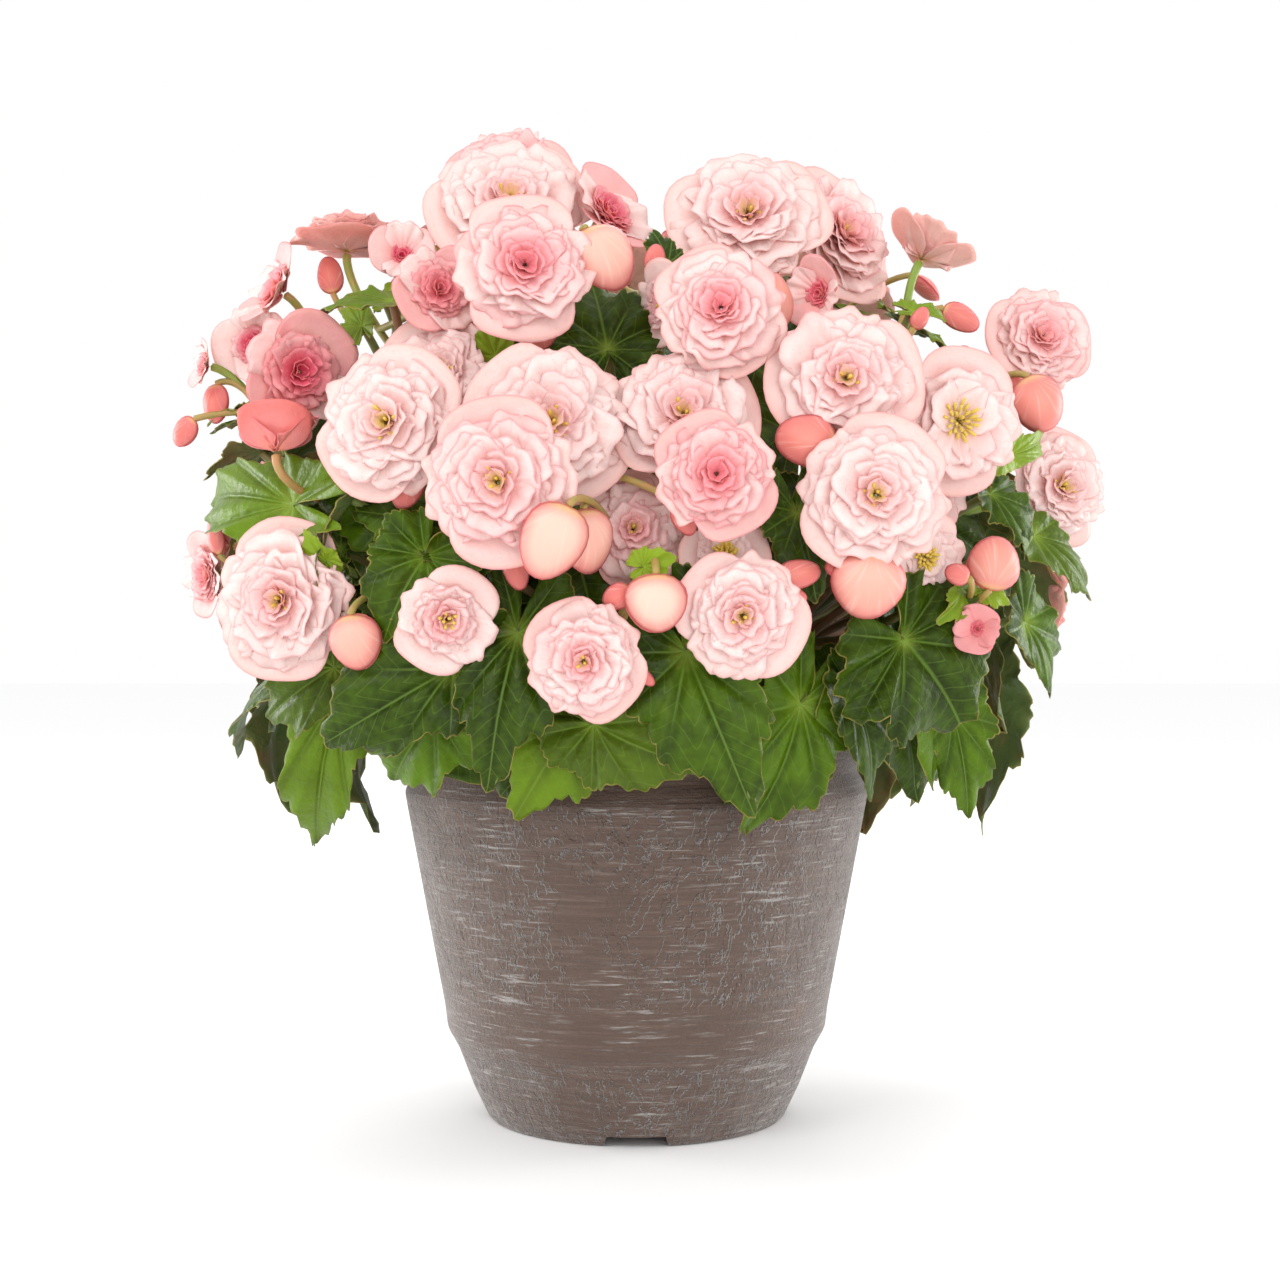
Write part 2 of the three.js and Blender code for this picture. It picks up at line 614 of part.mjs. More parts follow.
// A bud on its stalk: two rounded petals shut face to face, so its section is a lens with the seam
// at its sides.
function budSolid({ at, axes, long, wide, stalkCurve }, grow) {
  const thick = BUD_THICKNESS * wide;
  const section = (share, size) => {
    return [0, 55, 125, 180, 235, 305].map((angle) => {
      const y = (0.5 * wide * size + grow) * Math.cos(rad(angle));
      const z = (0.5 * thick * size + 1.5 * grow) * Math.sin(rad(angle)) * 1.1;
      return { angle, at: local(at, axes, share * long, y, z) };
    });
  };
  const tip = { angle: 0, at: local(at, axes, 0.5 * long + 2 * grow, 0, 0) };
  const tube = tubeLoops(stalkCurve, axes.y, PEDICEL.radius, PEDICEL.radius, PEDICEL, grow);
  return skin([...tube, section(-0.28, 0.82), section(0.18, 1), [tip]]);
}

// A leaf on its stalk: a toothed, lopsided, heart-shaped blade that arches along its rib, with its
// halves folded up a little. Under it the stalk's end spreads straight into the blade, whose two
// faces are folded alike.
function leafSolid({ at, axes, long, wide, side, stalkCurve }, grow) {
  const half = wide / 2;
  const surface = (u, v, above) => {
    const height = LEAF.arch * long * Math.max(u * (1 - u), 0) + LEAF.fold * half * Math.abs(v) + above;
    return local(at, axes, u * long, v * half, height);
  };
  const edge = (angle, tooth) => {
    const bend = angle > 180 ? angle - 360 : angle;
    const reach = (LEAF.lobe + (1 - LEAF.lobe) * Math.exp(-((bend / LEAF.point) ** 2))) * tooth;
    const fuller = Math.sign(bend) === side ? LEAF.fuller : 2 - LEAF.fuller;
    const v = (reach / LEAF.lobe) * Math.sin(rad(bend)) * fuller;
    const wave = LEAF.wave * half * Math.sin(rad(bend * 4));
    return { angle, u: reach * Math.cos(rad(bend)), v, wave };
  };
  const teeth = wide < SMALL_LEAF ? LEAF.fewTeeth : LEAF.teeth;
  const pitch = LEAF.sinus / teeth;
  const toothAt = (i) => (i % 2 ? LEAF.cut : 1);
  const oneSide = Array.from({ length: teeth + 1 }, (_, i) => edge(i * pitch, toothAt(i)));
  const other = oneSide.slice(1).map((_, i) => edge(360 - (i + 1) * pitch, toothAt(i + 1)));
  const sinus = { angle: 180, u: LEAF.sinusDepth, v: 0, wave: 0 };
  const outline = [...oneSide, sinus, ...other.reverse()];
  const rims = (grow ? [-grow, grow] : [0]).map((up) => {
    return outline.map(({ angle, u, v, wave }) => {
      const point = surface(u, v, wave + up);
      return { angle, at: point.addScaledVector(point.clone().sub(at).normalize(), 2 * grow) };
    });
  });
  const tube = tubeLoops(stalkCurve, axes.x, PETIOLE.radius, PETIOLE.endRadius, PETIOLE, grow);
  const [, left, right] = tube.at(-1);
  const fan = (foot, rib) => [
    { angle: -LEAF.front, at: rib },
    { angle: LEAF.front, at: foot[0] },
    { angle: 185, at: foot[1] },
  ];
  const [under, over] = [-1, 1].map((way) => surface(LEAF.middle, 0, way * (LEAF.thickness / 2 + grow)));
  const joint = surface(0, 0, LEAF.thickness + grow);
  return skin([...tube, fan([left.at, right.at], under), ...rims, fan([joint, joint], over)]);
}

// ---------------------------------------------------------------- placing pieces so that none cross

const pieces = [];

function boxesMeet(a, b) {
  const [p, q] = [a.boundingBox(), b.boundingBox()];
  return [0, 1, 2].every((i) => p.min[i] <= q.max[i] && q.min[i] <= p.max[i]);
}

// make(grow) gives the piece, larger by grow all over. A piece is cut clear of the other nodes'
// pieces that were placed before it.
function place(node, make) {
  const whole = make(0);
  const near = pieces.filter((other) => other.node !== node && boxesMeet(whole, other.clear));
  const solid = near.reduce((left, other) => left.subtract(other.clear), whole);
  if (!solid.isEmpty()) pieces.push({ node, solid: largest(solid), clear: make(GAP) });
}

function joined(node) {
  const own = pieces.filter((piece) => piece.node === node);
  return largest(own.slice(1).reduce((whole, piece) => whole.add(piece.solid), own[0].solid));
}

// ---------------------------------------------------------------- the pot and the soil

function potSolid() {
  const body = solidOf(lathe([[0, 0], ...POT_OUTSIDE, ...POT_INSIDE, [0, POT_FLOOR]], POT_FACETS));
  const { width, footWidth, height, start, depth, count } = CHANNEL;
  const section = new THREE.Shape([
    new THREE.Vector2(-footWidth / 2, -1),
    new THREE.Vector2(footWidth / 2, -1),
    new THREE.Vector2(width / 2, height),
    new THREE.Vector2(-width / 2, height),
  ]);
  let pot = body;
  for (let turn = 0; turn < count; turn += 1) {
    const channel = new THREE.ExtrudeGeometry(section, { depth, bevelEnabled: false });
    channel.rotateX(Math.PI / 2).translate(0, -start, 0).rotateZ((turn * 2 * Math.PI) / count);
    const drain = new THREE.CylinderGeometry(DRAIN.radius, DRAIN.radius, DRAIN.length, DRAIN.facets);
    drain.rotateX(Math.PI / 2).translate(0, -DRAIN.from, 0).rotateZ((turn * 2 * Math.PI) / count);
    pot = pot.subtract(solidOf(channel)).subtract(solidOf(drain));
  }
  return pot;
}

// The pot as a solid block, a little larger, which keeps leaves and stalks off it.
function potEnvelope() {
  const side = POT_OUTSIDE.map(([r, z]) => [r + 2 * GAP, z + GAP]);
  return solidOf(lathe([[0, -1], ...side, [0, side.at(-1)[1]]], POT_FACETS));
}

// The soil fills the pot to just under the rim, with a lumpy top.
function soilSolid() {
  const { level, facets, lump } = SOIL;
  const bed = POT_INSIDE.filter(([, z]) => z < level).reverse();
  const side = bed.map(([r, z]) => [r - 2 * GAP, z + GAP]);
  const profile = [[0, POT_FLOOR + GAP], ...side, ...SOIL_TOP.map(([r, z]) => [r, level + z])];
  const geometry = lathe(profile, facets);
  const position = geometry.attributes.position;
  for (let i = 0; i < position.count; i += 1) {
    const [x, y, z] = [position.getX(i), position.getY(i), position.getZ(i)];
    if (z > level - 1) position.setZ(i, z + lump * Math.sin(x * 0.31 + 1) * Math.cos(y * 0.27));
  }
  return solidOf(geometry);
}

// ---------------------------------------------------------------- the plant

function stemCurve({ foot, top }) {
  const from = vec(foot[0], foot[1], STEM.foot);
  const to = vec(...top);
  const above = vec(foot[0], foot[1], THREE.MathUtils.lerp(from.z, to.z, 0.5));
  return new THREE.QuadraticBezierCurve3(from, above, to);
}

function stemFor(point) {
  if (Math.hypot(point.x, point.y) < CROWN.radius && point.z > CROWN.height) return "centre";
  const half = point.y < 0 ? "front" : "back";
  if (Math.abs(point.x) < Math.abs(point.y) * Math.tan(rad(30))) return half;
  return `${half}_${point.x < 0 ? "left" : "right"}`;
}

function placeStem(stem) {
  const curve = stemCurve(STEMS[stem]);
  place(`leafy_stem_${stem}`, (grow) => stalk(curve, STEM.radius, STEM.topRadius, STEM, grow));
}

// A spray's first stalk runs from its fork, inwards of its blooms, and the others branch from that one.
function placeSpray(name, blooms, buds) {
  const node = `spray_${name}`;
  const heads = [...blooms, ...buds];
  const middle = heads.reduce((sum, head) => sum.add(head.at), vec(0, 0, 0)).divideScalar(heads.length);
  const inwards = vec(...STEMS[stemFor(middle)].top).sub(middle).normalize();
  const fork = middle.clone().addScaledVector(inwards, FORK_DEPTH);
  for (const { at, axes } of blooms) {
    const behind = at.clone().sub(fork).dot(axes.z);
    fork.addScaledVector(axes.z, Math.min(behind - LEAST_BEHIND, 0));
  }
  const main = new THREE.QuadraticBezierCurve3(fork, heads[0].behind, heads[0].join);
  heads.forEach((head, i) => {
    const from = main.getPoint(BRANCH_STEP * i);
    head.stalkCurve = new THREE.QuadraticBezierCurve3(from, head.behind, head.join);
  });
  blooms.forEach((bloom) => place(node, (grow) => bloomSolid(bloom, grow)));
  buds.forEach((bud) => place(node, (grow) => budSolid(bud, grow)));
  return { at: fork, under: middle.clone().addScaledVector(inwards, UNDER_DEPTH) };
}

// Stalks leave their stem one above the other, the lowest target's first, each on the side that it goes to.
function setStalks(targets) {
  for (const [name, stem] of Object.entries(STEMS)) {
    const own = targets.filter((target) => stemFor(target.at) === name).sort((a, b) => a.at.z - b.at.z);
    const curve = stemCurve(stem);
    own.forEach((target, i) => {
      const highest = stem.top[2] - STALKS.belowTop;
      const height = THREE.MathUtils.lerp(STALKS.lowest, highest, (i + 0.5) / own.length);
      const centre = pointAtHeight(curve, height);
      const aside = target.under.clone().sub(centre).setZ(0).setLength(STALKS.aside);
      target.stem = name;
      target.stalkCurve = new THREE.QuadraticBezierCurve3(centre.add(aside), target.under, target.at);
    });
  }
}

function pointAtHeight(curve, height) {
  return curve.getPoints(CURVE_STEPS).find((point) => point.z >= height);
}

function bloomRow(row) {
  const axes = facingView(row);
  return bloomAt(onDome(row.seen, row.lift), axes, row.wide, row.open);
}

function bloomAt(middle, axes, wide, open) {
  const at = local(middle, axes, 0, 0, -BLOOM_MIDDLE * wide);
  const join = local(at, axes, 0, 0, -BLOOM_BACK);
  const behind = local(at, axes, 0, 0, -BEHIND_BLOOM);
  return { at, axes, wide, open, join, behind };
}

function budRow(row) {
  const axes = facingView(row);
  const at = onDome(row.seen, row.lift);
  const join = local(at, axes, -0.5 * row.long, 0, 0);
  const behind = local(join, axes, -BEHIND_BUD, 0, 0).addScaledVector(outwardAt(at), -BEHIND_BUD);
  return { at, axes, long: row.long, wide: row.wide, join, behind };
}

function leafBetween(base, tip, wide, twist, side) {
  const rib = tip.clone().sub(base);
  const long = rib.length();
  const x = rib.normalize();
  const out = outwardAt(base);
  const flat = out.addScaledVector(x, -out.dot(x)).normalize();
  const z = flat.applyAxisAngle(x, rad(twist));
  const axes = { x, y: z.clone().cross(x), z };
  return { at: base, axes, long, wide, side, under: local(base, axes, 0, 0, -LEAF_UNDER * long) };
}

function leafRow({ base, tip, wide, lift, twist, side }) {
  return leafBetween(onDome(base, lift[0]), onDome(tip, lift[1]), wide, twist, side);
}

// Rows of blooms or leaves round the back, each shifted a little at random.
function backPlaces(rows, draw) {
  return rows.flatMap((row) => {
    const span = 180 - 2 * row.margin;
    return Array.from({ length: row.count }, (_, i) => {
      const azimuth = row.margin + (span * i) / (row.count - 1) + BACK.shift * (draw() - 0.5);
      return { row, azimuth, elevation: row.elevation + BACK.shift * (draw() - 0.5) };
    });
  });
}

function backBlooms(draw) {
  return backPlaces(BACK_BLOOMS, draw).map(({ azimuth, elevation }) => {
    const middle = domePoint(azimuth, elevation, BACK.bloomLift * draw());
    const axes = facing(outwardAt(middle), 360 * draw());
    const wide = THREE.MathUtils.lerp(...BACK.bloomWidth, draw());
    return bloomAt(middle, axes, wide, draw() < BACK.fullShare ? 1 : BACK.halfOpen);
  });
}

function backLeaves(draw) {
  return backPlaces(BACK_LEAVES, draw).map(({ row, azimuth, elevation }) => {
    const base = domePoint(azimuth, elevation, BACK.leafLift[0]);
    const aside = BACK.turn * (draw() - 0.5);
    const tip = domePoint(azimuth + aside, elevation - BACK.fall * row.reach, BACK.leafLift[1]);
    const long = row.reach * (1 + BACK.spread * (draw() - 0.5));
    tip.sub(base).setLength(long).add(base);
    return leafBetween(base, tip, long * BACK.leafWidth, BACK.twist * (draw() - 0.5), draw() < 0.5 ? 1 : -1);
  });
}

// ---------------------------------------------------------------- the model

function buildPlant() {
  const draw = seededDraws(SEED);
  Object.keys(STEMS).forEach(placeStem);
  place("pot_envelope", potEnvelope);
  const forks = Object.entries(SPRAYS).map(([name, { blooms, buds }]) => {
    return placeSpray(name, blooms.map(bloomRow), buds.map(budRow));
  });
  backBlooms(draw).forEach((bloom, i) => forks.push(placeSpray(`back_${i + 1}`, [bloom], [])));
  const leaves = [...LEAVES.map(leafRow), ...backLeaves(draw)];
  setStalks([...forks, ...leaves]);
  forks.forEach(({ stem, stalkCurve }) => {
    place(`leafy_stem_${stem}`, (grow) => stalk(stalkCurve, PEDUNCLE.radius, PEDICEL.radius, PEDUNCLE, grow));
  });
  leaves.forEach((leaf) => place(`leafy_stem_${leaf.stem}`, (grow) => leafSolid(leaf, grow)));
}

function material(color, roughness) {
  return new THREE.MeshStandardMaterial({ color, roughness, metalness: 0 });
}

function add(group, name, solid, look) {
  const mesh = new THREE.Mesh(geometryOf(solid), look);
  mesh.name = name;
  group.add(mesh);
}

buildPlant();
const stems = pieces.slice(0, Object.keys(STEMS).length);
const begonia = new THREE.Group();
begonia.name = "potted_begonia";
add(begonia, "pot", potSolid(), material(COLOURS.pot, 0.8));
const soil = stems.reduce((bed, stem) => bed.subtract(stem.clear), soilSolid());
add(begonia, "soil", soil, material(COLOURS.soil, 1));
const plantNodes = [...new Set(pieces.map((piece) => piece.node))].filter((name) => name !== "pot_envelope");
for (const name of plantNodes) {
  const green = name.startsWith("leafy_stem");
  add(begonia, name, joined(name), material(green ? COLOURS.leafyStem : COLOURS.bloom, green ? 0.6 : 0.5));
}

export default begonia;
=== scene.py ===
"""A potted begonia: double pink blooms, buds and toothed leaves in a whitewashed resin pot.

Lengths are in millimetres until a mesh is made, and every place is in the model's own frame.
"""

import math

import bmesh
import bpy
import numpy as np
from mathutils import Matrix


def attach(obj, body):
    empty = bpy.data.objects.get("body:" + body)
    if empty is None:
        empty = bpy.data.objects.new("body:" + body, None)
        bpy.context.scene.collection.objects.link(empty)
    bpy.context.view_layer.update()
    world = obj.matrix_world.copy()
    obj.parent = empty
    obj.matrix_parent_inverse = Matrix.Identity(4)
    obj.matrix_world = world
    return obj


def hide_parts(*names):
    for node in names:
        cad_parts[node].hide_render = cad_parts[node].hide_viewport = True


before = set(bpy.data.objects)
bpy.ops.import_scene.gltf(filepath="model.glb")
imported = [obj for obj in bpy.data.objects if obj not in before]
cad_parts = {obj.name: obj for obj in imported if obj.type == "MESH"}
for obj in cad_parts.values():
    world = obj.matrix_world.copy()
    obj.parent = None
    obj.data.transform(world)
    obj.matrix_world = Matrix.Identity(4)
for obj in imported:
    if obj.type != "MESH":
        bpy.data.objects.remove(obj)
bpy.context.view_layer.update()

MM = 0.001
UP = np.array([0.0, 0.0, 1.0])


def vec(*numbers):
    return np.array(numbers, float)


def unit(v):
    return v / np.linalg.norm(v)


def lerp(a, b, t):
    return a + (b - a) * t


def link(name, data):
    made = bpy.data.objects.new(name, data)
    bpy.context.scene.collection.objects.link(made)
    return made


# ---------------------------------------------------------------- dimensions shared with the solids

POT_OUTSIDE = [
    (45.6, 0),
    (50.1, 9.3),
    (54.9, 21.7),
    (58.2, 27.5),
    (59.0, 34),
    (70.7, 96),
    (71.3, 99.8),
    (67.9, 106),
    (68.8, 115),
]
POT_INSIDE = [(65.6, 115), (65.0, 104), (55.4, 33), (51.4, 22), (42.8, 6.5)]
POT_FLOOR = 6.5
CHANNEL = {"width": 17, "foot_width": 19.5, "height": 3.2, "start": 18, "depth": 60, "count": 4}
DRAIN = {"radius": 4, "start": 24, "length": 20}
SOIL_LEVEL = 103

STEM = {"foot": 82, "radius": 3.4, "top_radius": 2.4, "sides": 14, "blush": 0.2}
FORK_STALK = {"radius": 1.4, "blush": 0.5}
LEAF_STALK = (1.5, 1.2)  # its radius at the stem and at the leaf
STALK_SIDES = 8
STALKS = {"lowest": 112, "below_top": 3, "aside": 1.4}
STEMS = {
    "centre": ((0, 0), (0, -4, 216)),
    "front": ((0, -24), (2, -56, 170)),
    "front_left": ((-22, -12), (-58, -30, 172)),
    "front_right": ((22, -12), (58, -30, 172)),
    "back": ((0, 24), (-2, 54, 170)),
    "back_left": ((-22, 12), (-56, 32, 172)),
    "back_right": ((22, 12), (56, 32, 172)),
}
CROWN = {"radius": 64, "height": 222}
HALF_SECTOR = 30  # degrees each way of the front or the back stem

EYE = vec(1.1, -617, 145.7)
VIEW_CENTRE = (640, 640)  # the photo's middle, in pixels
MM_PER_PIXEL = 0.31  # on the plane through the pot's axis
DOME_CENTRE = vec(0, 0, 162)
DOME_RADII = vec(134, 108, 124)

# Each spray's blooms and its buds. Blooms: seen, wide, turn, tilt, roll, lift, open, then the
# colours, blush and core, 0 to 1, and how much more than usual the bloom is domed.
# Buds: seen, long, wide, turn, tilt, roll, lift, and the tint, from cream to coral.
SPRAYS = {
    "top_left": (
        [
            ((506, 166), 40, -4, 34, 4, -30, 1, 0.45, 0.3),
            ((510, 196), 51, 4, 28, 28, 2, 1, 0.05, 0.25),
            ((525, 263), 41, 5, 8, 90, 12, 1, 0.35, 0.75),
        ],
        [((537, 328), 14, 12, 0, -20, -100, -8, 0.8)],
    ),
    "top_mid": (
        [((612, 208), 34, 48, 30, 70, -6, 0.7, 0.7, 0.9)],
        [((604, 258), 19, 18, 20, 10, -60, 4, 0.4)],
    ),
    "upper_left": (
        [
            ((347, 236), 36, -12, 94, 90, 4, 0.9, 0.6, 0.3, 2.8),
            ((402, 253), 24, 8, 18, 0, 0, 0.55, 0.35, 1),
            ((441, 288), 29, 20, 12, 40, 0, 0.8, 0.7, 0.8),
        ],
        [],
    ),
    "left": (
        [
            ((253, 345), 28, -12, 0, 8, 6, 0.7, 0.15, 1),
            ((302, 372), 37, 30, -8, 60, 2, 0.85, 0.9, 0.9),
            ((271, 286), 31, -58, 26, 70, -4, 0.7, 0.7, 0.6),
        ],
        [],
    ),
    "left_edge": (
        [((201, 364), 17, -60, 10, 60, -4, 0.7, 0.4, 0.7)],
        [((216, 404), 12, 9, -20, 0, -90, 4, 1), ((185, 432), 10, 8, -20, 0, -130, -4, 1)],
    ),
    "left_cup": ([((276, 436), 34, 8, 100, 90, 4, 0.35, 0.95, 0.9)], []),
    "mid_left": (
        [((384, 421), 43, -14, 2, 48, 8, 1, 0.1, 0.15), ((440, 368), 37, -4, 20, -28, -9, 1, 0.05, 0.1)],
        [((407, 488), 12, 9, 0, 0, -110, -4, 0.9)],
    ),
    "mid": (
        [((551, 420), 46, 8, 10, -38, 2, 1, 0.1, 0.2), ((496, 481), 44, -8, 0, 97, 16, 1, 0.3, 0.25)],
        [((516, 570), 11, 7, 0, 0, -75, -4, 0.9)],
    ),
    "mid_low": (
        [((634, 528), 32, 10, 6, 100, -14, 1, 0.25, 0.35)],
        [((552, 541), 20, 17, 6, -6, -115, 15, 0.2), ((587, 541), 17, 15, 30, -6, -80, 2, 0.4)],
    ),
    "mid_right": (
        [((717, 473), 34, 4, 4, -60, 12, 1, 0.5, 0.75), ((684, 411), 41, 0, 18, 12, -3, 1, 0.1, 0.3)],
        [],
    ),
    "heart": (
        [((721, 306), 37, 0, 10, -55, 8, 1, 0.3, 0.7), ((659, 303), 26, -56, -4, 80, -10, 0.8, 0.2, 0.4)],
        [],
    ),
    "top_right": (
        [
            ((748, 209), 48, -2, 22, 14, 2, 1, 0.1, 0.3),
            ((847, 229), 46, 40, 22, 82, -3, 1, 0.3, 0.4),
            ((816, 293), 24, -50, 0, 70, 2, 0.6, 0.7, 0.9),
        ],
        [((776, 300), 15, 12, 40, 0, 100, 0, 0.6)],
    ),
    "right_upper": ([((847, 377), 43, 4, 5, 4, 8, 1, 0.15, 0.3)], []),
    "far_upper": (
        [((928, 248), 34, 112, 57, 66, 4, 0.6, 0.15, 0.3)],
        [((961, 318), 12, 8, 0, 0, -30, 0, 0.9)],
    ),
    "far_right": (
        [((1044, 335), 35, 14, 12, 4, 0, 1, 0.3, 0.5)],
        [((1038, 404), 17, 16, 10, 0, -70, 6, 0.8)],
    ),
    "right_open": ([((962, 420), 41, 14, 0, 80, 4, 1, 0.15, 0)], []),
    "right": (
        [((877, 494), 43, 4, 0, 62, 12, 1, 0.12, 0.25), ((939, 487), 25, 30, 0, 80, -14, 0.8, 0.4, 0.5)],
        [((805, 440), 16, 14, -6, 0, 170, 2, 0.85)],
    ),
    "right_edge": ([((1066, 486), 37, 26, 4, 82, 0, 1, 0.1, 0.2)], []),
    "right_low": (
        [((927, 557), 26, 14, -4, 88, -8, 0.9, 0.05, 0)],
        [((868, 585), 18, 19, 0, -10, -95, 6, 0.55)],
    ),
    "far_low": (
        [((977, 629), 18, -12, 0, 70, 0, 0.45, 0.9, 0.9)],
        [((994, 563), 15, 15, 10, 0, 80, 2, 0.7)],
    ),
    "low_mid": (
        [((743, 616), 36, 4, -4, -32, 6, 1, 0.15, 0.28), ((725, 553), 25, 0, 26, 10, -10, 0.9, 0.1, 0)],
        [((799, 574), 13, 8, 20, 10, 10, -1, 0.85)],
    ),
    "low_centre": ([], [((656, 603), 15, 16, 0, 0, -90, 8, 0.05)]),
    "low_front": ([((583, 662), 33, -6, -8, -50, 10, 1, 0.2, 0.4)], []),
    "low_left": (
        [((277, 601), 45, -18, -4, 84, 4, 1, 0.15, 0.3), ((203, 574), 28, -52, -4, 88, -4, 0.8, 0.4, 0.6)],
        [((216, 534), 13, 6, -20, 0, 100, -4, 0.95)],
    ),
    "low_side": (
        [
            ((448, 620), 31, 14, -12, 60, 4, 0.8, 0.2, 0.3),
            ((399, 634), 17, -20, -30, 80, -6, 0.6, 0.5, 0.7),
        ],
        [((356, 642), 15, 14, -6, -6, -80, 4, 0.5)],
    ),
}

# Leaves: base, tip, wide, lift at each, twist, side, and how young a pale one is.
LEAVES = [
    ((293, 505), (212, 503), 30, (-8, -6), 10, 1, 0.2),
    ((262, 452), (208, 474), 15, (-12, -6), 30, -1, 0.5),
    ((262, 424), (214, 432), 17, (-16, -12), 0, 1),
    ((395, 512), (312, 486), 24, (-14, -14), -10, 1),
    ((342, 550), (290, 522), 24, (-14, -9), 0, 1),
    ((326, 560), (304, 531), 9, (-3, 3), 0, -1, 0.8),
    ((425, 556), (384, 636), 32, (-4, 2), -8, 1),
    ((466, 540), (357, 516), 26, (-13, -8), 30, -1),
    ((351, 500), (319, 590), 10, (-6, -2), 62, 1),
    ((330, 592), (318, 664), 18, (-10, -6), 0, 1),
    ((334, 668), (268, 718), 26, (-14, -4), 0, 1, 0.12),
    ((338, 692), (318, 838), 27, (-20, -6), -34, -1, 0.2),
    ((290, 674), (238, 754), 17, (-16, -2), 48, 1),
    ((452, 668), (327, 742), 34, (-6, 4), 0, -1),
    ((436, 712), (392, 781), 32, (-16, -14), 0, 1),
    ((518, 633), (490, 777), 34, (-8, 6), 0, 1),
    ((572, 718), (520, 808), 33, (-20, -12), 0, 1, 0.25),
    ((594, 724), (697, 765), 30, (-10, -2), 0, -1, 0.18),
    ((686, 652), (748, 801), 40, (-8, 4), 0, -1),
    ((800, 704), (748, 832), 32, (-16, -8), 0, 1),
    ((852, 694), (870, 791), 22, (-14, -10), -14, 1),
    ((903, 640), (958, 724), 50, (-10, -4), 0, -1),
    ((952, 712), (965, 812), 22, (-18, -6), 30, 1),
    ((1024, 622), (1046, 691), 21, (-8, -4), 0, 1),
    ((1034, 536), (1086, 596), 20, (-8, -4), 0, -1, 0.2),
    ((990, 494), (1028, 556), 24, (-12, -8), 0, 1),
    ((796, 512), (812, 596), 26, (-10, -10), 0, 1),
    ((962, 588), (938, 620), 12, (-6, 0), 0, 1, 0.5),
    ((905, 326), (951, 366), 17, (-14, -10), 0, 1, 0.3),
    ((668, 264), (652, 232), 11, (-8, -4), 0, 1),
    ((608, 350), (592, 284), 32, (-20, -16), 0, 1),
    ((392, 302), (314, 318), 16, (-1, 5), 20, 1, 0.35),
    ((495, 356), (486, 318), 12, (-14, -8), 0, -1, 0.6),
    ((792, 432), (768, 348), 22, (-18, -16), 0, 1),
]

# Bracts and young leaves too small for the solids, as the leaves.
BRACTS = [
    ((644, 566), (676, 558), 9, (1, 2), 0, 1, 0.9),
    ((1008, 456), (1042, 436), 10, (0, 2), 20, 1, 0.7),
    ((984, 590), (1006, 604), 9, (-2, 0), 0, 1, 0.8),
    ((362, 326), (354, 298), 10, (-6, -4), 0, 1, 0.55),
    ((384, 300), (404, 276), 8, (-8, -6), 0, -1, 0.7),
    ((236, 410), (208, 424), 10, (-8, -6), 0, 1, 0.7),
    ((912, 312), (946, 320), 8, (-4, -2), 0, 1, 0.6),
]

# A leaf deep in the plant that closes the view between the lower blooms.
DEEP_LEAVES = [((576, 546), (594, 616), 34, (-24, -16), 0, 1, 0)]

BACK_BLOOMS = [(-2, 5, 22), (26, 4, 28), (54, 3, 32)]  # elevation, count, margin
BACK_LEAVES = [(-14, 7, 14, 50), (12, 5, 22, 44), (36, 3, 36, 42)]  # and reach
BACK = {
    "shift": 8,
    "bloom_lift": 6,
    "bloom_width": (36, 46),
    "full_share": 0.75,
    "half_open": 0.7,
    "leaf_lift": (-14, -6),
    "fall": 0.3,
    "turn": 14,
    "twist": 20,
    "spread": 0.2,
    "leaf_width": 0.84,
    "blush": (0.05, 0.45),
    "core": (0.15, 0.7),
    "young_colours": (0.8, 0.9),
}
SEED = 7

BLOOM_MIDDLE = 0.12
BLOOM_BACK = 1.4
BUD_THICKNESS = 0.7
LEAF = {
    "lobe": 0.56,
    "point": 34,
    "fuller": 1.08,
    "sinus": 164,
    "sinus_depth": -0.08,
    "arch": 0.45,
    "fold": 0.1,
}
LEAF_UNDER = 0.4
BEHIND_BLOOM = 12
BEHIND_BUD = 8
LEAST_BEHIND = 12
FORK_DEPTH = 30
UNDER_DEPTH = 39
CURVE_STEPS = 40
BRANCH_STEP = 0.14

# Buds and bracts too small for the solids: node, seen, long, wide, turn, tilt, roll, lift.
SMALL_BUDS = [
    ("top_mid", (655, 258), 8, 6, 0, 0, 80, -6),
    ("mid", (684, 520), 9, 6, 0, 0, -60, 0),
    ("far_upper", (920, 318), 7, 5, 0, 0, 60, 0),
    ("far_right", (1014, 378), 6, 5, 0, 0, 100, 0),
    ("right", (842, 443), 7, 6, 0, 0, -60, 0),
    ("right_low", (838, 567), 7, 6, 0, 0, 180, 0),
    ("far_low", (957, 574), 7, 6, 0, 0, 160, 2),
    ("low_mid", (796, 597), 6, 5, 0, 0, -20, -2),
    ("low_front", (617, 597), 8, 7, 0, 0, -150, 4),
    ("low_centre", (641, 674), 9, 4, 0, 0, -40, 0),
    ("upper_left", (330, 275), 12, 8, 0, 10, 100, -6),
]


# Beside each bloom of the back: how far round and up, in degrees, and how wide.
BACK_SMALL_BLOOM = {
    "place": (15, 8),
    "wide": 20,
    "size": (0.9, 1.2),
    "lift": (-6, 2),
    "open": 0.6,
    "blush": (0.4, 0.9),
    "core": 0.9,
}
BACK_SMALL_BUDS = [(-13, -5, 10), (-9, 9, 7)]
BACK_BUD = {"lift": (-2, 4), "roll": (-130, -50), "length": 1.2, "tint": (0.3, 1)}
INNER_ROOT = (0.25, 0.95)  # where an inner leaf's stalk leaves its stem, as shares of the stem


# ---------------------------------------------------------------- places, as in the solids


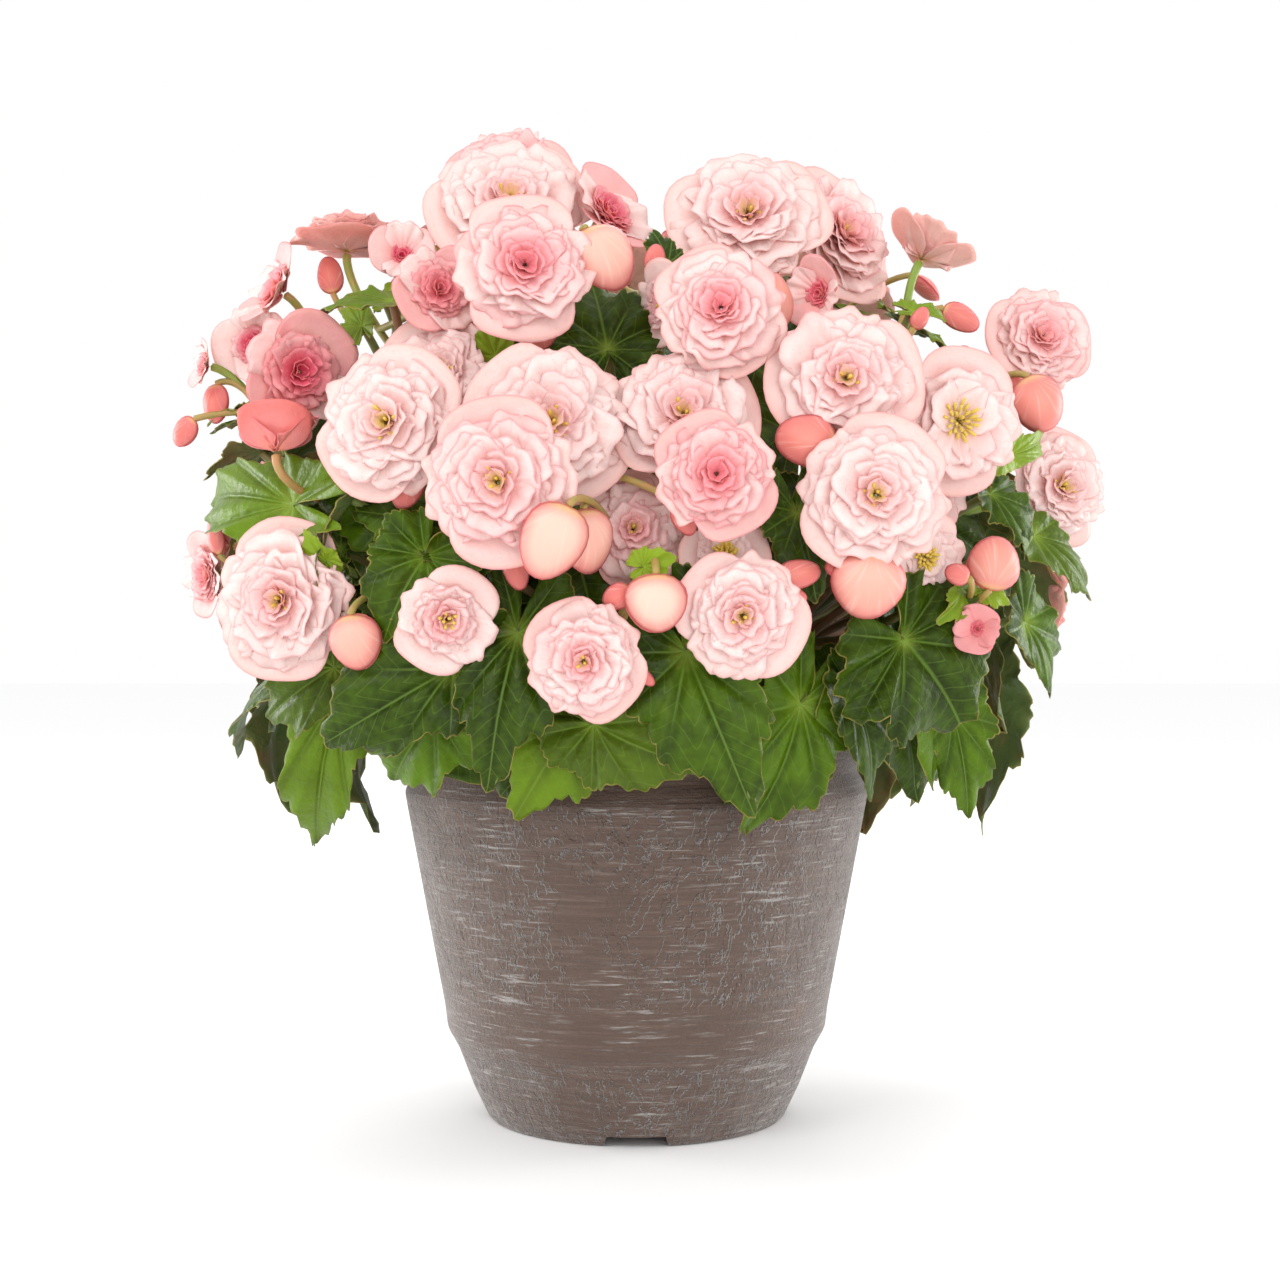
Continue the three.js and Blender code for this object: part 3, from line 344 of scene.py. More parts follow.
def seeded_draws(seed):
    """The solids' own draws, so that the back's blooms and leaves fall in the same places."""
    state = seed
    while True:
        state = (state * 16807) % 2147483647
        yield state / 2147483647


def on_dome(seen, lift):
    along = vec(
        (seen[0] - VIEW_CENTRE[0]) * MM_PER_PIXEL,
        -EYE[1],
        (VIEW_CENTRE[1] - seen[1]) * MM_PER_PIXEL,
    )
    radii = DOME_RADII + lift
    start = (EYE - DOME_CENTRE) / radii
    step = along / radii
    a = step @ step
    b = start @ step
    inside = b * b - a * (start @ start - 1)
    return EYE + along * ((-b - math.sqrt(max(inside, 0))) / a)


def dome_point(azimuth, elevation, lift):
    turn, rise = math.radians(azimuth), math.radians(elevation)
    direction = vec(math.cos(rise) * math.cos(turn), math.cos(rise) * math.sin(turn), math.sin(rise))
    return DOME_CENTRE + direction * (DOME_RADII + lift)


def outward_at(point):
    return unit((point - DOME_CENTRE) / DOME_RADII**2)


def facing(forward, roll):
    """Rows are the piece's own x, y and z axes."""
    right = unit(np.cross(UP, forward))
    above = np.cross(forward, right)
    x = right * math.cos(math.radians(roll)) + above * math.sin(math.radians(roll))
    return np.array([x, np.cross(forward, x), forward])


def facing_view(turn, tilt, roll):
    turn, tilt = math.radians(turn), math.radians(tilt)
    flat = math.cos(tilt)
    return facing(vec(flat * math.sin(turn), -flat * math.cos(turn), math.sin(tilt)), roll)


def turned(v, axis, degrees):
    angle = math.radians(degrees)
    along = axis * (axis @ v) * (1 - math.cos(angle))
    return v * math.cos(angle) + np.cross(axis, v) * math.sin(angle) + along


def bezier(a, b, c, count):
    t = np.linspace(0, 1, count)[:, None]
    return a * (1 - t) ** 2 + b * 2 * t * (1 - t) + c * t**2


def bloom_at(middle, axes, wide, opened, blush, core, domed=1):
    at = middle - axes[2] * BLOOM_MIDDLE * wide
    return {
        "at": at,
        "axes": axes,
        "wide": wide,
        "open": opened,
        "blush": blush,
        "core": core,
        "domed": domed,
        "join": at - axes[2] * BLOOM_BACK,
        "behind": at - axes[2] * BEHIND_BLOOM,
    }


def bloom_row(row):
    seen, wide, turn, tilt, roll, lift, *looks = row
    return bloom_at(on_dome(seen, lift), facing_view(turn, tilt, roll), wide, *looks)


def bud_at(at, axes, long, wide, tint=0.9):
    join = at - axes[0] * 0.5 * long
    behind = join - axes[0] * BEHIND_BUD - outward_at(at) * BEHIND_BUD
    size = {"long": long, "wide": wide}
    return {"at": at, "axes": axes, **size, "tint": tint, "join": join, "behind": behind}


def bud_row(row):
    seen, long, wide, turn, tilt, roll, lift, *tint = row
    return bud_at(on_dome(seen, lift), facing_view(turn, tilt, roll), long, wide, *tint)


def hang(head, start):
    head["stalk"] = (start, head["behind"], head["join"])


def halfway(stalk):
    return stalk[0] * 0.25 + stalk[1] * 0.5 + stalk[2] * 0.25


def either(most):
    """A draw from -most to most."""
    return rng.uniform(-most, most)


def leaf_between(base, tip, wide, twist, side):
    long = np.linalg.norm(tip - base)
    x = (tip - base) / long
    out = outward_at(base)
    z = turned(unit(out - x * (out @ x)), x, twist)
    axes = np.array([x, np.cross(z, x), z])
    under = base - z * LEAF_UNDER * long
    return {"at": base, "axes": axes, "long": long, "wide": wide, "side": side, "under": under}


def leaf_row(row):
    base, tip, wide, lift, twist, side, *young = row
    leaf = leaf_between(on_dome(base, lift[0]), on_dome(tip, lift[1]), wide, twist, side)
    return {**leaf, "young": young[0] if young else 0}


def back_places(rows, draws):
    places = []
    for elevation, count, margin, *rest in rows:
        span = 180 - 2 * margin
        for i in range(count):
            azimuth = margin + span * i / (count - 1) + BACK["shift"] * (next(draws) - 0.5)
            places.append((azimuth, elevation + BACK["shift"] * (next(draws) - 0.5), *rest))
    return places


def back_blooms(draws):
    blooms = []
    for azimuth, elevation in back_places(BACK_BLOOMS, draws):
        middle = dome_point(azimuth, elevation, BACK["bloom_lift"] * next(draws))
        axes = facing(outward_at(middle), 360 * next(draws))
        wide = lerp(*BACK["bloom_width"], next(draws))
        opened = 1 if next(draws) < BACK["full_share"] else BACK["half_open"]
        if opened == 1:
            colours = (rng.uniform(*BACK["blush"]), rng.uniform(*BACK["core"]))
        else:
            colours = BACK["young_colours"]
        blooms.append(bloom_at(middle, axes, wide, opened, *colours))
    return blooms


def back_leaves(draws):
    leaves = []
    for azimuth, elevation, reach in back_places(BACK_LEAVES, draws):
        base = dome_point(azimuth, elevation, BACK["leaf_lift"][0])
        aside = BACK["turn"] * (next(draws) - 0.5)
        tip = dome_point(azimuth + aside, elevation - BACK["fall"] * reach, BACK["leaf_lift"][1])
        long = reach * (1 + BACK["spread"] * (next(draws) - 0.5))
        tip = base + unit(tip - base) * long
        twist = BACK["twist"] * (next(draws) - 0.5)
        side = 1 if next(draws) < 0.5 else -1
        leaves.append(leaf_between(base, tip, long * BACK["leaf_width"], twist, side))
    return leaves


def stem_curve(stem, count=CURVE_STEPS + 1):
    (x, y), top = STEMS[stem]
    foot = vec(x, y, STEM["foot"])
    return bezier(foot, vec(x, y, (foot[2] + top[2]) / 2), vec(*top), count)


def stem_for(point):
    if math.hypot(point[0], point[1]) < CROWN["radius"] and point[2] > CROWN["height"]:
        return "centre"
    half = "front" if point[1] < 0 else "back"
    if abs(point[0]) < abs(point[1]) * math.tan(math.radians(HALF_SECTOR)):
        return half
    return f"{half}_{'left' if point[0] < 0 else 'right'}"


def spray_of(blooms, buds):
    """Sets each head's stalk and gives the spray's fork and where the stalk below it turns."""
    heads = blooms + buds
    middle = sum(head["at"] for head in heads) / len(heads)
    inwards = unit(vec(*STEMS[stem_for(middle)][1]) - middle)
    fork = middle + inwards * FORK_DEPTH
    for bloom in blooms:
        z = bloom["axes"][2]
        fork = fork + z * min((bloom["at"] - fork) @ z - LEAST_BEHIND, 0)
    for i, head in enumerate(heads):
        t = BRANCH_STEP * i
        start = fork * (1 - t) ** 2 + heads[0]["behind"] * 2 * t * (1 - t) + heads[0]["join"] * t**2
        hang(head, start)
    return {"at": fork, "under": middle + inwards * UNDER_DEPTH}


# Leaves inside the dome, which close the view between the outer ones: elevation, count, reach.
FILLERS = [(-22, 11, 40), (-4, 13, 42), (14, 13, 42), (32, 11, 40), (50, 8, 38), (68, 5, 34)]
FILLER = {
    "lift": (-34, -26),
    "deeper": 8,
    "shift": 0.3,
    "rise": 6,
    "aside": 16,
    "fall": 0.34,
    "size": (0.85, 1.15),
    "width": 0.86,
    "twist": 25,
}


def filler_leaves():
    leaves = []
    for elevation, count, reach in FILLERS:
        for i in range(count):
            azimuth = (i + either(FILLER["shift"])) * 360 / count
            rise = elevation + either(FILLER["rise"])
            base = dome_point(azimuth, rise, FILLER["lift"][0] - rng.uniform(0, FILLER["deeper"]))
            azimuth += either(FILLER["aside"])
            tip = dome_point(azimuth, rise - FILLER["fall"] * reach, FILLER["lift"][1])
            long = reach * rng.uniform(*FILLER["size"])
            tip = base + unit(tip - base) * long
            twist = either(FILLER["twist"])
            leaf = leaf_between(base, tip, long * FILLER["width"], twist, rng.choice([-1, 1]))
            leaves.append({**inner(leaf), "inside": True})
    return leaves


def beside(bloom):
    """The bloom with a small one and buds about it, on stalks from its own."""
    out = bloom["at"] - DOME_CENTRE
    azimuth = math.degrees(math.atan2(out[1], out[0]))
    elevation = math.degrees(math.atan2(out[2], math.hypot(out[0], out[1])))
    way = rng.choice([-1, 1])
    narrowing = max(math.cos(math.radians(elevation)), 0.4)
    start = halfway(bloom["stalk"])

    def near(round_by, up_by, lift):
        return dome_point(azimuth + round_by * way / narrowing, elevation + up_by, rng.uniform(*lift))

    small = BACK_SMALL_BLOOM
    middle = near(*small["place"], small["lift"])
    axes = facing(outward_at(middle), rng.uniform(0, 360))
    wide = small["wide"] * rng.uniform(*small["size"])
    head = bloom_at(middle, axes, wide, small["open"], rng.uniform(*small["blush"]), small["core"])
    hang(head, start)
    buds = []
    for round_by, up_by, wide in BACK_SMALL_BUDS:
        at = near(round_by, up_by, BACK_BUD["lift"])
        axes = facing(outward_at(at), rng.uniform(*BACK_BUD["roll"]))
        buds.append(bud_at(at, axes, wide * BACK_BUD["length"], wide, rng.uniform(*BACK_BUD["tint"])))
        hang(buds[-1], start)
    return [bloom, head], buds


def inner(leaf):
    """Sets the stalk of a leaf the solids don't hold."""
    leaf["stem"] = stem_for(leaf["at"])
    start = stem_curve(leaf["stem"])[int(rng.uniform(*INNER_ROOT) * CURVE_STEPS)]
    leaf["stalk"] = (start, leaf["under"], leaf["at"])
    return leaf


def set_stalks(targets):
    for name in STEMS:
        own = sorted((t for t in targets if stem_for(t["at"]) == name), key=lambda t: t["at"][2])
        curve = stem_curve(name)
        for i, target in enumerate(own):
            top = STEMS[name][1][2] - STALKS["below_top"]
            height = lerp(STALKS["lowest"], top, (i + 0.5) / len(own))
            centre = curve[np.argmax(curve[:, 2] >= height)]
            aside = (target["under"] - centre) * vec(1, 1, 0)
            target["stem"] = name
            target["stalk"] = (centre + unit(aside) * STALKS["aside"], target["under"], target["at"])


# ---------------------------------------------------------------- meshes

rng = np.random.default_rng(11)
FIELDS = ("rim", "side", "tint", "core", "blush", "along", "across", "depth")


class Shape:
    """Gathers the closed pieces of one object, with a material each and values at each point."""

    def __init__(self):
        self.points, self.values = [], []
        self.faces = {3: [], 4: []}
        self.looks = {3: [], 4: []}
        self.count = 0

    def add(self, points, values, quads, triangles, look):
        """values has an array or number for each name in FIELDS that isn't 0."""
        size = len(points)
        table = np.zeros((size, len(FIELDS)))
        for name, value in values.items():
            table[:, FIELDS.index(name)] = value
        self.points.append(points)
        self.values.append(table)
        for corners, faces in ((4, quads), (3, triangles)):
            if len(faces):
                self.faces[corners].append(np.asarray(faces) + self.count)
                self.looks[corners].append(np.full(len(faces), look))
        self.count += size

    def make(self, name, looks):
        mesh = bpy.data.meshes.new(name)
        points = np.concatenate(self.points) * MM
        faces = [np.concatenate(self.faces[c]) if self.faces[c] else np.zeros((0, c), int) for c in (4, 3)]
        corners = np.concatenate([f.ravel() for f in faces])
        sizes = np.concatenate([np.full(len(f), f.shape[1]) for f in faces])
        which = np.concatenate([np.concatenate(self.looks[c]) for c in (4, 3) if self.looks[c]])
        mesh.vertices.add(len(points))
        mesh.vertices.foreach_set("co", points.ravel())
        mesh.loops.add(len(corners))
        mesh.loops.foreach_set("vertex_index", corners)
        mesh.polygons.add(len(sizes))
        mesh.polygons.foreach_set("loop_start", np.cumsum(sizes) - sizes)
        mesh.polygons.foreach_set("material_index", which)
        mesh.polygons.foreach_set("use_smooth", np.ones(len(sizes), bool))
        table = np.concatenate(self.values)
        for i, field in enumerate(FIELDS):
            attribute = mesh.attributes.new(field, "FLOAT", "POINT")
            attribute.data.foreach_set("value", table[:, i].astype(np.float32))
        for look in looks:
            mesh.materials.append(look)
        mesh.update(calc_edges=True)
        mesh.validate()
        return link(name, mesh)


def placed(at, axes, x, y, z):
    """The grid of points at x, y and z along the axes."""
    return at + x[..., None] * axes[0] + y[..., None] * axes[1] + z[..., None] * axes[2]


def grid_normals(grid, wrapped):
    along = np.gradient(grid, axis=0)
    if wrapped:
        across = (np.roll(grid, -1, axis=1) - np.roll(grid, 1, axis=1)) / 2
    else:
        across = np.gradient(grid, axis=1)
    normal = np.cross(along, across)
    size = np.linalg.norm(normal, axis=2, keepdims=True)
    return normal / np.maximum(size, 1e-9)


def grid_quads(rows, columns, wrapped, start=0):
    i = np.arange(rows - 1)[:, None]
    j = np.arange(columns if wrapped else columns - 1)[None, :]
    after = (j + 1) % columns
    corners = [i * columns + j, (i + 1) * columns + j, (i + 1) * columns + after, i * columns + after]
    return np.stack([c + 0 * i + 0 * j for c in corners], axis=-1).reshape(-1, 4) + start


def add_blade(shape, upper, lower, quads, fans, rim, values, look):
    """A closed thin piece: an upper face, the same face below, and a wall down from the rim's loop."""
    size = len(upper)
    after = np.roll(rim, -1)
    walls = np.stack([rim, rim + size, after + size, after], axis=-1)
    both = {name: np.concatenate([np.broadcast_to(v, size)] * 2) for name, v in values.items()}
    both["side"] = np.repeat([0.0, 1.0], size)
    quads = np.concatenate([quads, quads[:, ::-1] + size, walls])
    fans = np.concatenate([fans, fans[:, ::-1] + size]) if len(fans) else fans
    shape.add(np.concatenate([upper, lower]), both, quads, fans, look)


def add_sheet(shape, grid, values, thickness, look):
    """A closed thin sheet. grid is its upper face, rows from root to rim; thickness is for each point."""
    rows, columns, _ = grid.shape
    below = grid - grid_normals(grid, False) * thickness[..., None]
    index = np.arange(rows * columns).reshape(rows, columns)
    rim = np.concatenate([index[:-1, 0], index[-1, :-1], index[:0:-1, -1], index[0, :0:-1]])
    flat = {name: np.ravel(value) for name, value in values.items()}
    quads = grid_quads(rows, columns, False)
    add_blade(shape, grid.reshape(-1, 3), below.reshape(-1, 3), quads, [], rim, flat, look)


def add_disc(shape, hub, rings, values, hub_values, thickness, look):
    """A closed thin blade round a hub. rings are its upper face, from near the hub out to its rim."""
    rows, columns, _ = rings.shape
    normals = grid_normals(rings, True)
    below = rings - normals * thickness[..., None]
    hub_below = hub - unit(normals[0].mean(axis=0)) * thickness[0].mean()
    first = np.arange(columns) + 1
    fan = np.stack([np.zeros(columns, int), first, np.roll(first, -1)], axis=-1)
    full = {}
    for name, value in values.items():
        spread = np.ravel(np.broadcast_to(value, (rows, columns)))
        full[name] = np.concatenate([[hub_values.get(name, 0)], spread])
    upper = np.concatenate([[hub], rings.reshape(-1, 3)])
    lower = np.concatenate([[hub_below], below.reshape(-1, 3)])
    quads = grid_quads(rows, columns, True, 1)
    add_blade(shape, upper, lower, quads, fan, first + (rows - 1) * columns, full, look)


def add_rings(shape, rings, ends, values, look, downwards=False):
    """A closed body of rings, from first to last, with a point to close each end."""
    rows, sides, _ = rings.shape
    size = rows * sides
    first = np.arange(sides)
    last = first + size - sides
    start = np.stack([np.full(sides, size), np.roll(first, -1), first], axis=-1)
    finish = np.stack([np.full(sides, size + 1), last, np.roll(last, -1)], axis=-1)
    quads, fans = grid_quads(rows, sides, True)[:, ::-1], np.concatenate([start, finish])
    if downwards:
        quads, fans = quads[:, ::-1], fans[:, ::-1]
    shape.add(np.concatenate([rings.reshape(-1, 3), ends]), values, quads, fans, look)


TUBE_CAP = 0.4


def add_tube(shape, path, radii, sides, values, look):
    """A closed tube along a path, with a low point on each end."""
    tangent = np.gradient(path, axis=0)
    tangent /= np.linalg.norm(tangent, axis=1, keepdims=True)
    side = np.cross(tangent[0], UP if abs(tangent[0][2]) < 0.9 else vec(1, 0, 0))
    angles = (np.arange(sides) * 2 * math.pi / sides)[:, None]
    rings = []
    for point, along, radius in zip(path, tangent, radii):
        side = unit(side - along * (side @ along))
        other = np.cross(along, side)
        rings.append(point + radius * (np.cos(angles) * side + np.sin(angles) * other))
    low, high = tangent[0] * radii[0] * TUBE_CAP, tangent[-1] * radii[-1] * TUBE_CAP
    ends = [path[0] - low, path[-1] + high]
    share = np.concatenate([np.repeat(np.linspace(0, 1, len(path)), sides), [0, 1]])
    add_rings(shape, np.array(rings), ends, {"along": share, **values}, look)


# ---------------------------------------------------------------- blooms

PETAL_LOOK, BUD_LOOK, STALK_LOOK, STAMEN_LOOK = range(4)
FAN = math.radians(150)
ROOT_SHARE = 0.06

# How a petal's edges roll, its grid, its outline's fullness at the tip, how it cups across and curls
# along, how much its rim ruffles up and down and frills in and out, how many waves that has, and how
# deep its pleats are.
PETAL_PARTS = ("roll", "rows", "columns", "full", "cup", "curl", "ruffle", "frill", "waves", "pleat")
PETALS = {
    "large": (0.05, 10, 25, 0.75, 0.08, 0.05, 0.012, 0.012, 3, 0.006),
    "frilled": (0.1, 9, 37, 0.45, 0.05, -0.04, 0.045, 0.04, 5.6, 0.014),
    "ring": (0.2, 5, 29, 0.38, 0.05, 0.02, 0.05, 0.035, 4.2, 0.012),
    "heart": (0.4, 5, 21, 0.55, 0.12, 0.16, 0.06, 0.05, 4, 0.018),
}
PETAL_THICKNESS = (0.3, 0.12)  # at the root and at the rim
# A petal's waves: how much of a finer wave each has, how much finer, and how near the rim they rise.
FRILL_MORE, FRILL_FINER = 0.6, 1.7
RUFFLE_MORE, RUFFLE_FINER = 0.5, 1.6
RUFFLE_POWER = 2.5
PLEAT_FINER, PLEAT_REACH = 2, 0.9
PETAL_ROW_POWER = 0.85
# Rings of petals, as shares of the bloom's radius: count, length, half width, pitch up in degrees,
# root height, form.
ROSETTE = [
    (7, 0.79, 0.39, 3, 0.05, "ring"),
    (7, 0.71, 0.36, 6, 0.08, "ring"),
    (6, 0.62, 0.34, 9, 0.1, "ring"),
    (6, 0.54, 0.3, 14, 0.12, "ring"),
    (5, 0.43, 0.26, 22, 0.14, "ring"),
    (5, 0.33, 0.18, 34, 0.15, "heart"),
    (4, 0.22, 0.12, 52, 0.16, "heart"),
]
SMALL_ROSETTE = ROSETTE[1:6]
OPEN_ROSETTE = ROSETTE[1:5:2]  # round a bare yellow middle
SMALL_BLOOM = 26
# The guard petals: form, length and half width as shares of the radius, pitch, height, share of blush.
GUARDS = [("large", 1, 0.68, 1, 0, 1), ("frilled", 0.9, 0.5, 4, 0.4, 0.35)]
# What an unopened bloom's petals do, times 1 - open. Its rings draw in to closest at the least.
SHUT = {
    "guard_shorter": 0.1,
    "guard_narrower": 0.2,
    "guard_pitch": 62,
    "closer": 1.3,
    "closest": 0.4,
    "narrower": 0.3,
    "pitch": 55,
}
# How far each petal may fall from its rule; STEEPEST is the most it pitches up, in degrees.
GUARD_DRAWS = {"turn": 6, "pitch": 4, "blush": 0.08}
RING_DRAWS = {"place": 0.22, "turn": 10, "size": (0.85, 1.12), "pitch": (-8, 10), "blush": 0.12}
STEEPEST = 88
RING_ROOT = {"out": 0.03, "next_higher": 0.02}
# Stamens: how many a bare yellow middle has, how much fewer there are for a deep core, and, as shares
# of the bloom's radius or of a stamen's distance from the middle, where they stand and lean.
STAMENS = {
    "most": 26,
    "fewer": 2.2,
    "inner": 0.03,
    "spread": 0.2,
    "foot": 0.1,
    "foot_out": 0.6,
    "tall": (0.12, 0.22),
    "lean": 0.7,
}
STAMEN_RADII = np.array([0.22, 0.22, 0.22, 0.5, 0.45])
GOLDEN_ANGLE = 137.5


def add_petal(shape, bloom, root, axes, long, half, pitch, form, values):
    """Its axes' x runs out from the bloom's middle and z faces the viewer of the bloom."""
    f = dict(zip(PETAL_PARTS, PETALS[form]))
    angle = np.linspace(-FAN, FAN, f["columns"])[None, :]
    share = np.linspace(ROOT_SHARE, 1, f["rows"])[:, None] ** PETAL_ROW_POWER
    phase = rng.uniform(0, 2 * math.pi, 4)
    tip = np.sign(np.cos(angle)) * np.abs(np.cos(angle)) ** f["full"]
    waves = angle * f["waves"]
    frill = np.sin(waves + phase[0]) + FRILL_MORE * np.sin(waves * FRILL_FINER + phase[1])
    spread = share * (1 + f["frill"] * frill * share**2)
    x = spread * long * (0.5 + 0.5 * tip)
    y = spread * half * np.sin(angle)
    ruffle = np.sin(waves + phase[2]) + RUFFLE_MORE * np.sin(waves * RUFFLE_FINER + phase[3])
    z = f["cup"] * long * (y / half) ** 2 + f["curl"] * long * (x / long) ** 2 + f["roll"] * y * either(1)
    z = z + f["ruffle"] * 2 * half * ruffle * share**RUFFLE_POWER
    pleat = np.cos(waves * PLEAT_FINER + phase[1]) * np.sin(share * math.pi * PLEAT_REACH)
    z = z + f["pleat"] * 2 * half * pleat
    lift = math.radians(pitch)
    x, z = x * math.cos(lift) - z * math.sin(lift), x * math.sin(lift) + z * math.cos(lift)
    grid = placed(root, axes, x, y, z)
    size = grid.shape[:2]
    outline = np.hypot(long * (0.5 + 0.5 * tip), half * np.sin(angle))
    offset = (grid - bloom["at"]) @ bloom["axes"].T
    full = {
        "rim": (1 - share) * outline,
        "along": np.broadcast_to(share * long, size),
        "across": np.broadcast_to(angle, size),
        "depth": np.hypot(offset[..., 0], offset[..., 1]) / (bloom["wide"] / 2),
        **{k: np.broadcast_to(v, size) for k, v in values.items()},
    }
    thickness = np.broadcast_to(lerp(*PETAL_THICKNESS, share**2), size)
    add_sheet(shape, grid, full, thickness, PETAL_LOOK)


def petal_axes(axes, turn):
    angle = math.radians(turn)
    x = axes[0] * math.cos(angle) + axes[1] * math.sin(angle)
    return np.array([x, np.cross(axes[2], x), axes[2]])


def add_guards(shape, bloom):
    """Two large petals and two small frilled ones, by turns."""
    radius, shut = bloom["wide"] / 2, 1 - bloom["open"]
    for quarter in range(4):
        form, reach, breadth, pitch, height, pale = GUARDS[quarter % 2]
        long = radius * reach * (1 - SHUT["guard_shorter"] * shut)
        half = radius * breadth * (1 - SHUT["guard_narrower"] * shut)
        turn = quarter * 90 + either(GUARD_DRAWS["turn"])
        pitch = pitch + SHUT["guard_pitch"] * shut + either(GUARD_DRAWS["pitch"])
        blush = bloom["blush"] * (pale if shut < 0.5 else 1) + either(GUARD_DRAWS["blush"])
        values = {"tint": rng.uniform(), "core": bloom["core"] * 0.5, "blush": blush}
        root = bloom["at"] + bloom["axes"][2] * height
        add_petal(shape, bloom, root, petal_axes(bloom["axes"], turn), long, half, pitch, form, values)


def add_stamens(shape, bloom):
    """The fewer, the deeper the colour of the bloom's middle."""
    at, axes, radius = bloom["at"], bloom["axes"], bloom["wide"] / 2
    most = STAMENS["most"]
    for i in range(int(most * max(1 - STAMENS["fewer"] * bloom["core"], 0))):
        reach = STAMENS["inner"] + STAMENS["spread"] * math.sqrt(i / most)
        out = petal_axes(axes, i * GOLDEN_ANGLE)[0] * radius * reach
        foot = at + axes[2] * radius * STAMENS["foot"] + out * STAMENS["foot_out"]
        top = foot + axes[2] * radius * rng.uniform(*STAMENS["tall"]) + out * STAMENS["lean"]
        path = bezier(foot, foot + axes[2], top, len(STAMEN_RADII))
        add_tube(shape, path, STAMEN_RADII, 6, {"tint": rng.uniform()}, STAMEN_LOOK)


def add_rosette(shape, bloom):
    at, axes, radius, shut = bloom["at"], bloom["axes"], bloom["wide"] / 2, 1 - bloom["open"]
    rings = ROSETTE if bloom["wide"] > SMALL_BLOOM else SMALL_ROSETTE
    if bloom["core"] == 0:
        rings = OPEN_ROSETTE
    spread = min(max(1 - SHUT["closer"] * shut, SHUT["closest"]), 1)
    for count, long, half, pitch, rise, form in rings:
        start = rng.uniform(0, 360)
        for i in range(count):
            turn = start + (i + either(RING_DRAWS["place"])) * 360 / count
            size = rng.uniform(*RING_DRAWS["size"]) * (radius * spread)
            up = min(pitch + SHUT["pitch"] * shut + rng.uniform(*RING_DRAWS["pitch"]), STEEPEST)
            blush = bloom["blush"] / bloom["domed"]
            values = {"tint": rng.uniform(), "core": bloom["core"]}
            values["blush"] = blush + either(RING_DRAWS["blush"])
            height = rise * bloom["domed"] + RING_ROOT["next_higher"] * (i % 2)
            root = at + axes[2] * radius * spread * height
            root = root + petal_axes(axes, turn)[0] * radius * RING_ROOT["out"]
            narrow = 1 - SHUT["narrower"] * shut
            own = petal_axes(axes, turn + either(RING_DRAWS["turn"]))
            add_petal(shape, bloom, root, own, long * size, half * size * narrow, up, form, values)


def add_bloom(shape, bloom):
    add_guards(shape, bloom)
    add_stamens(shape, bloom)
    add_rosette(shape, bloom)
    add_stalk(shape, bloom["stalk"], 1.1, 1.3, bloom["blush"])


def add_stalk(shape, curve, radius, end_radius, pink):
    path = bezier(*curve, 11)
    radii = np.linspace(radius, end_radius, len(path))
    add_tube(shape, path, radii, STALK_SIDES, {"tint": rng.uniform(), "blush": pink}, STALK_LOOK)


# A bud's grid, the gap between its petals, how egg-shaped, thick, rough and full each petal is, and its
# wall in the middle and how much less it is at the rim.
BUD = {
    "columns": 24,
    "rows": 7,
    "gap": 0.16,
    "egg": 0.16,
    "thick": 0.36,
    "rough": (0.02, 0.03),
    "full": (2.4, 0.9),
    "wall": (0.35, 0.15),
}


def add_bud(shape, bud):
    """Two rounded petals shut face to face."""
    at, axes, long, wide, tint = (bud[k] for k in ("at", "axes", "long", "wide", "tint"))
    angle = np.arange(BUD["columns"]) * 2 * math.pi / BUD["columns"]
    share = np.linspace(1 / BUD["rows"], 1, BUD["rows"])[:, None]
    egg = 1 - BUD["egg"] * np.cos(angle)
    thick = BUD_THICKNESS * wide * BUD["thick"]
    rough_x, rough_y = BUD["rough"]
    low_power, power = BUD["full"]
    wall, thinner = BUD["wall"]
    for way in (1, -1):
        z_axis = axes[2] * way
        own = np.array([axes[0], np.cross(z_axis, axes[0]), z_axis])
        x = share * long / 2 * np.cos(angle) * (1 + rough_x * np.sin(3 * angle + tint * 6))
        y = share * wide / 2 * np.sin(angle) * egg * (1 + rough_y * np.sin(2 * angle + tint * 9))
        z = thick * (1 - share**low_power) ** power + BUD["gap"] + 0 * angle
        rings = placed(at, own, x, y, z)
        hub = at + z_axis * (thick + BUD["gap"])
        thickness = np.broadcast_to(wall - thinner * share, rings.shape[:2])
        values = {
            "rim": (1 - share) * np.hypot(long / 2 * np.cos(angle), wide / 2 * np.sin(angle)),
            "along": (0.5 + 0.5 * share * np.cos(angle)),
            "across": np.arctan2(y, x + long / 2),
            "tint": tint,
        }
        hub_values = {"rim": long / 2, "along": 0.5, "tint": tint}
        add_disc(shape, hub, rings, values, hub_values, thickness, BUD_LOOK)
    add_stalk(shape, bud["stalk"], 1.0, 1.0, 0.8)


# ---------------------------------------------------------------- leaves

LEAF_LOOK, STEM_LOOK = range(2)
LEAF_COLUMNS, SCALLOPS = 156, 19
INNER_COLUMNS, INNER_SCALLOPS = 72, 9
LEAF_RINGS = np.array([0.08, 0.22, 0.38, 0.54, 0.7, 0.84, 0.94, 1.0])[:, None]
VEINS = np.radians([0, 36, 72, 110, 148])
VEIN_SPAN = math.radians(18)
# The lobes at a leaf's main veins fade out at so many degrees from its tip. Its teeth are shares of
# its outline's reach: the least, how deep, how round, and how they drift and vary.
LOBES = {"depth": 0.09, "middle": 0.2, "fade": 100}
TEETH = {
    "least": 0.965,
    "depth": 0.075,
    "round": 0.8,
    "drift": 0.03,
    "drift_waves": 7,
    "rough": 0.018,
    "scale": 0.97,
}
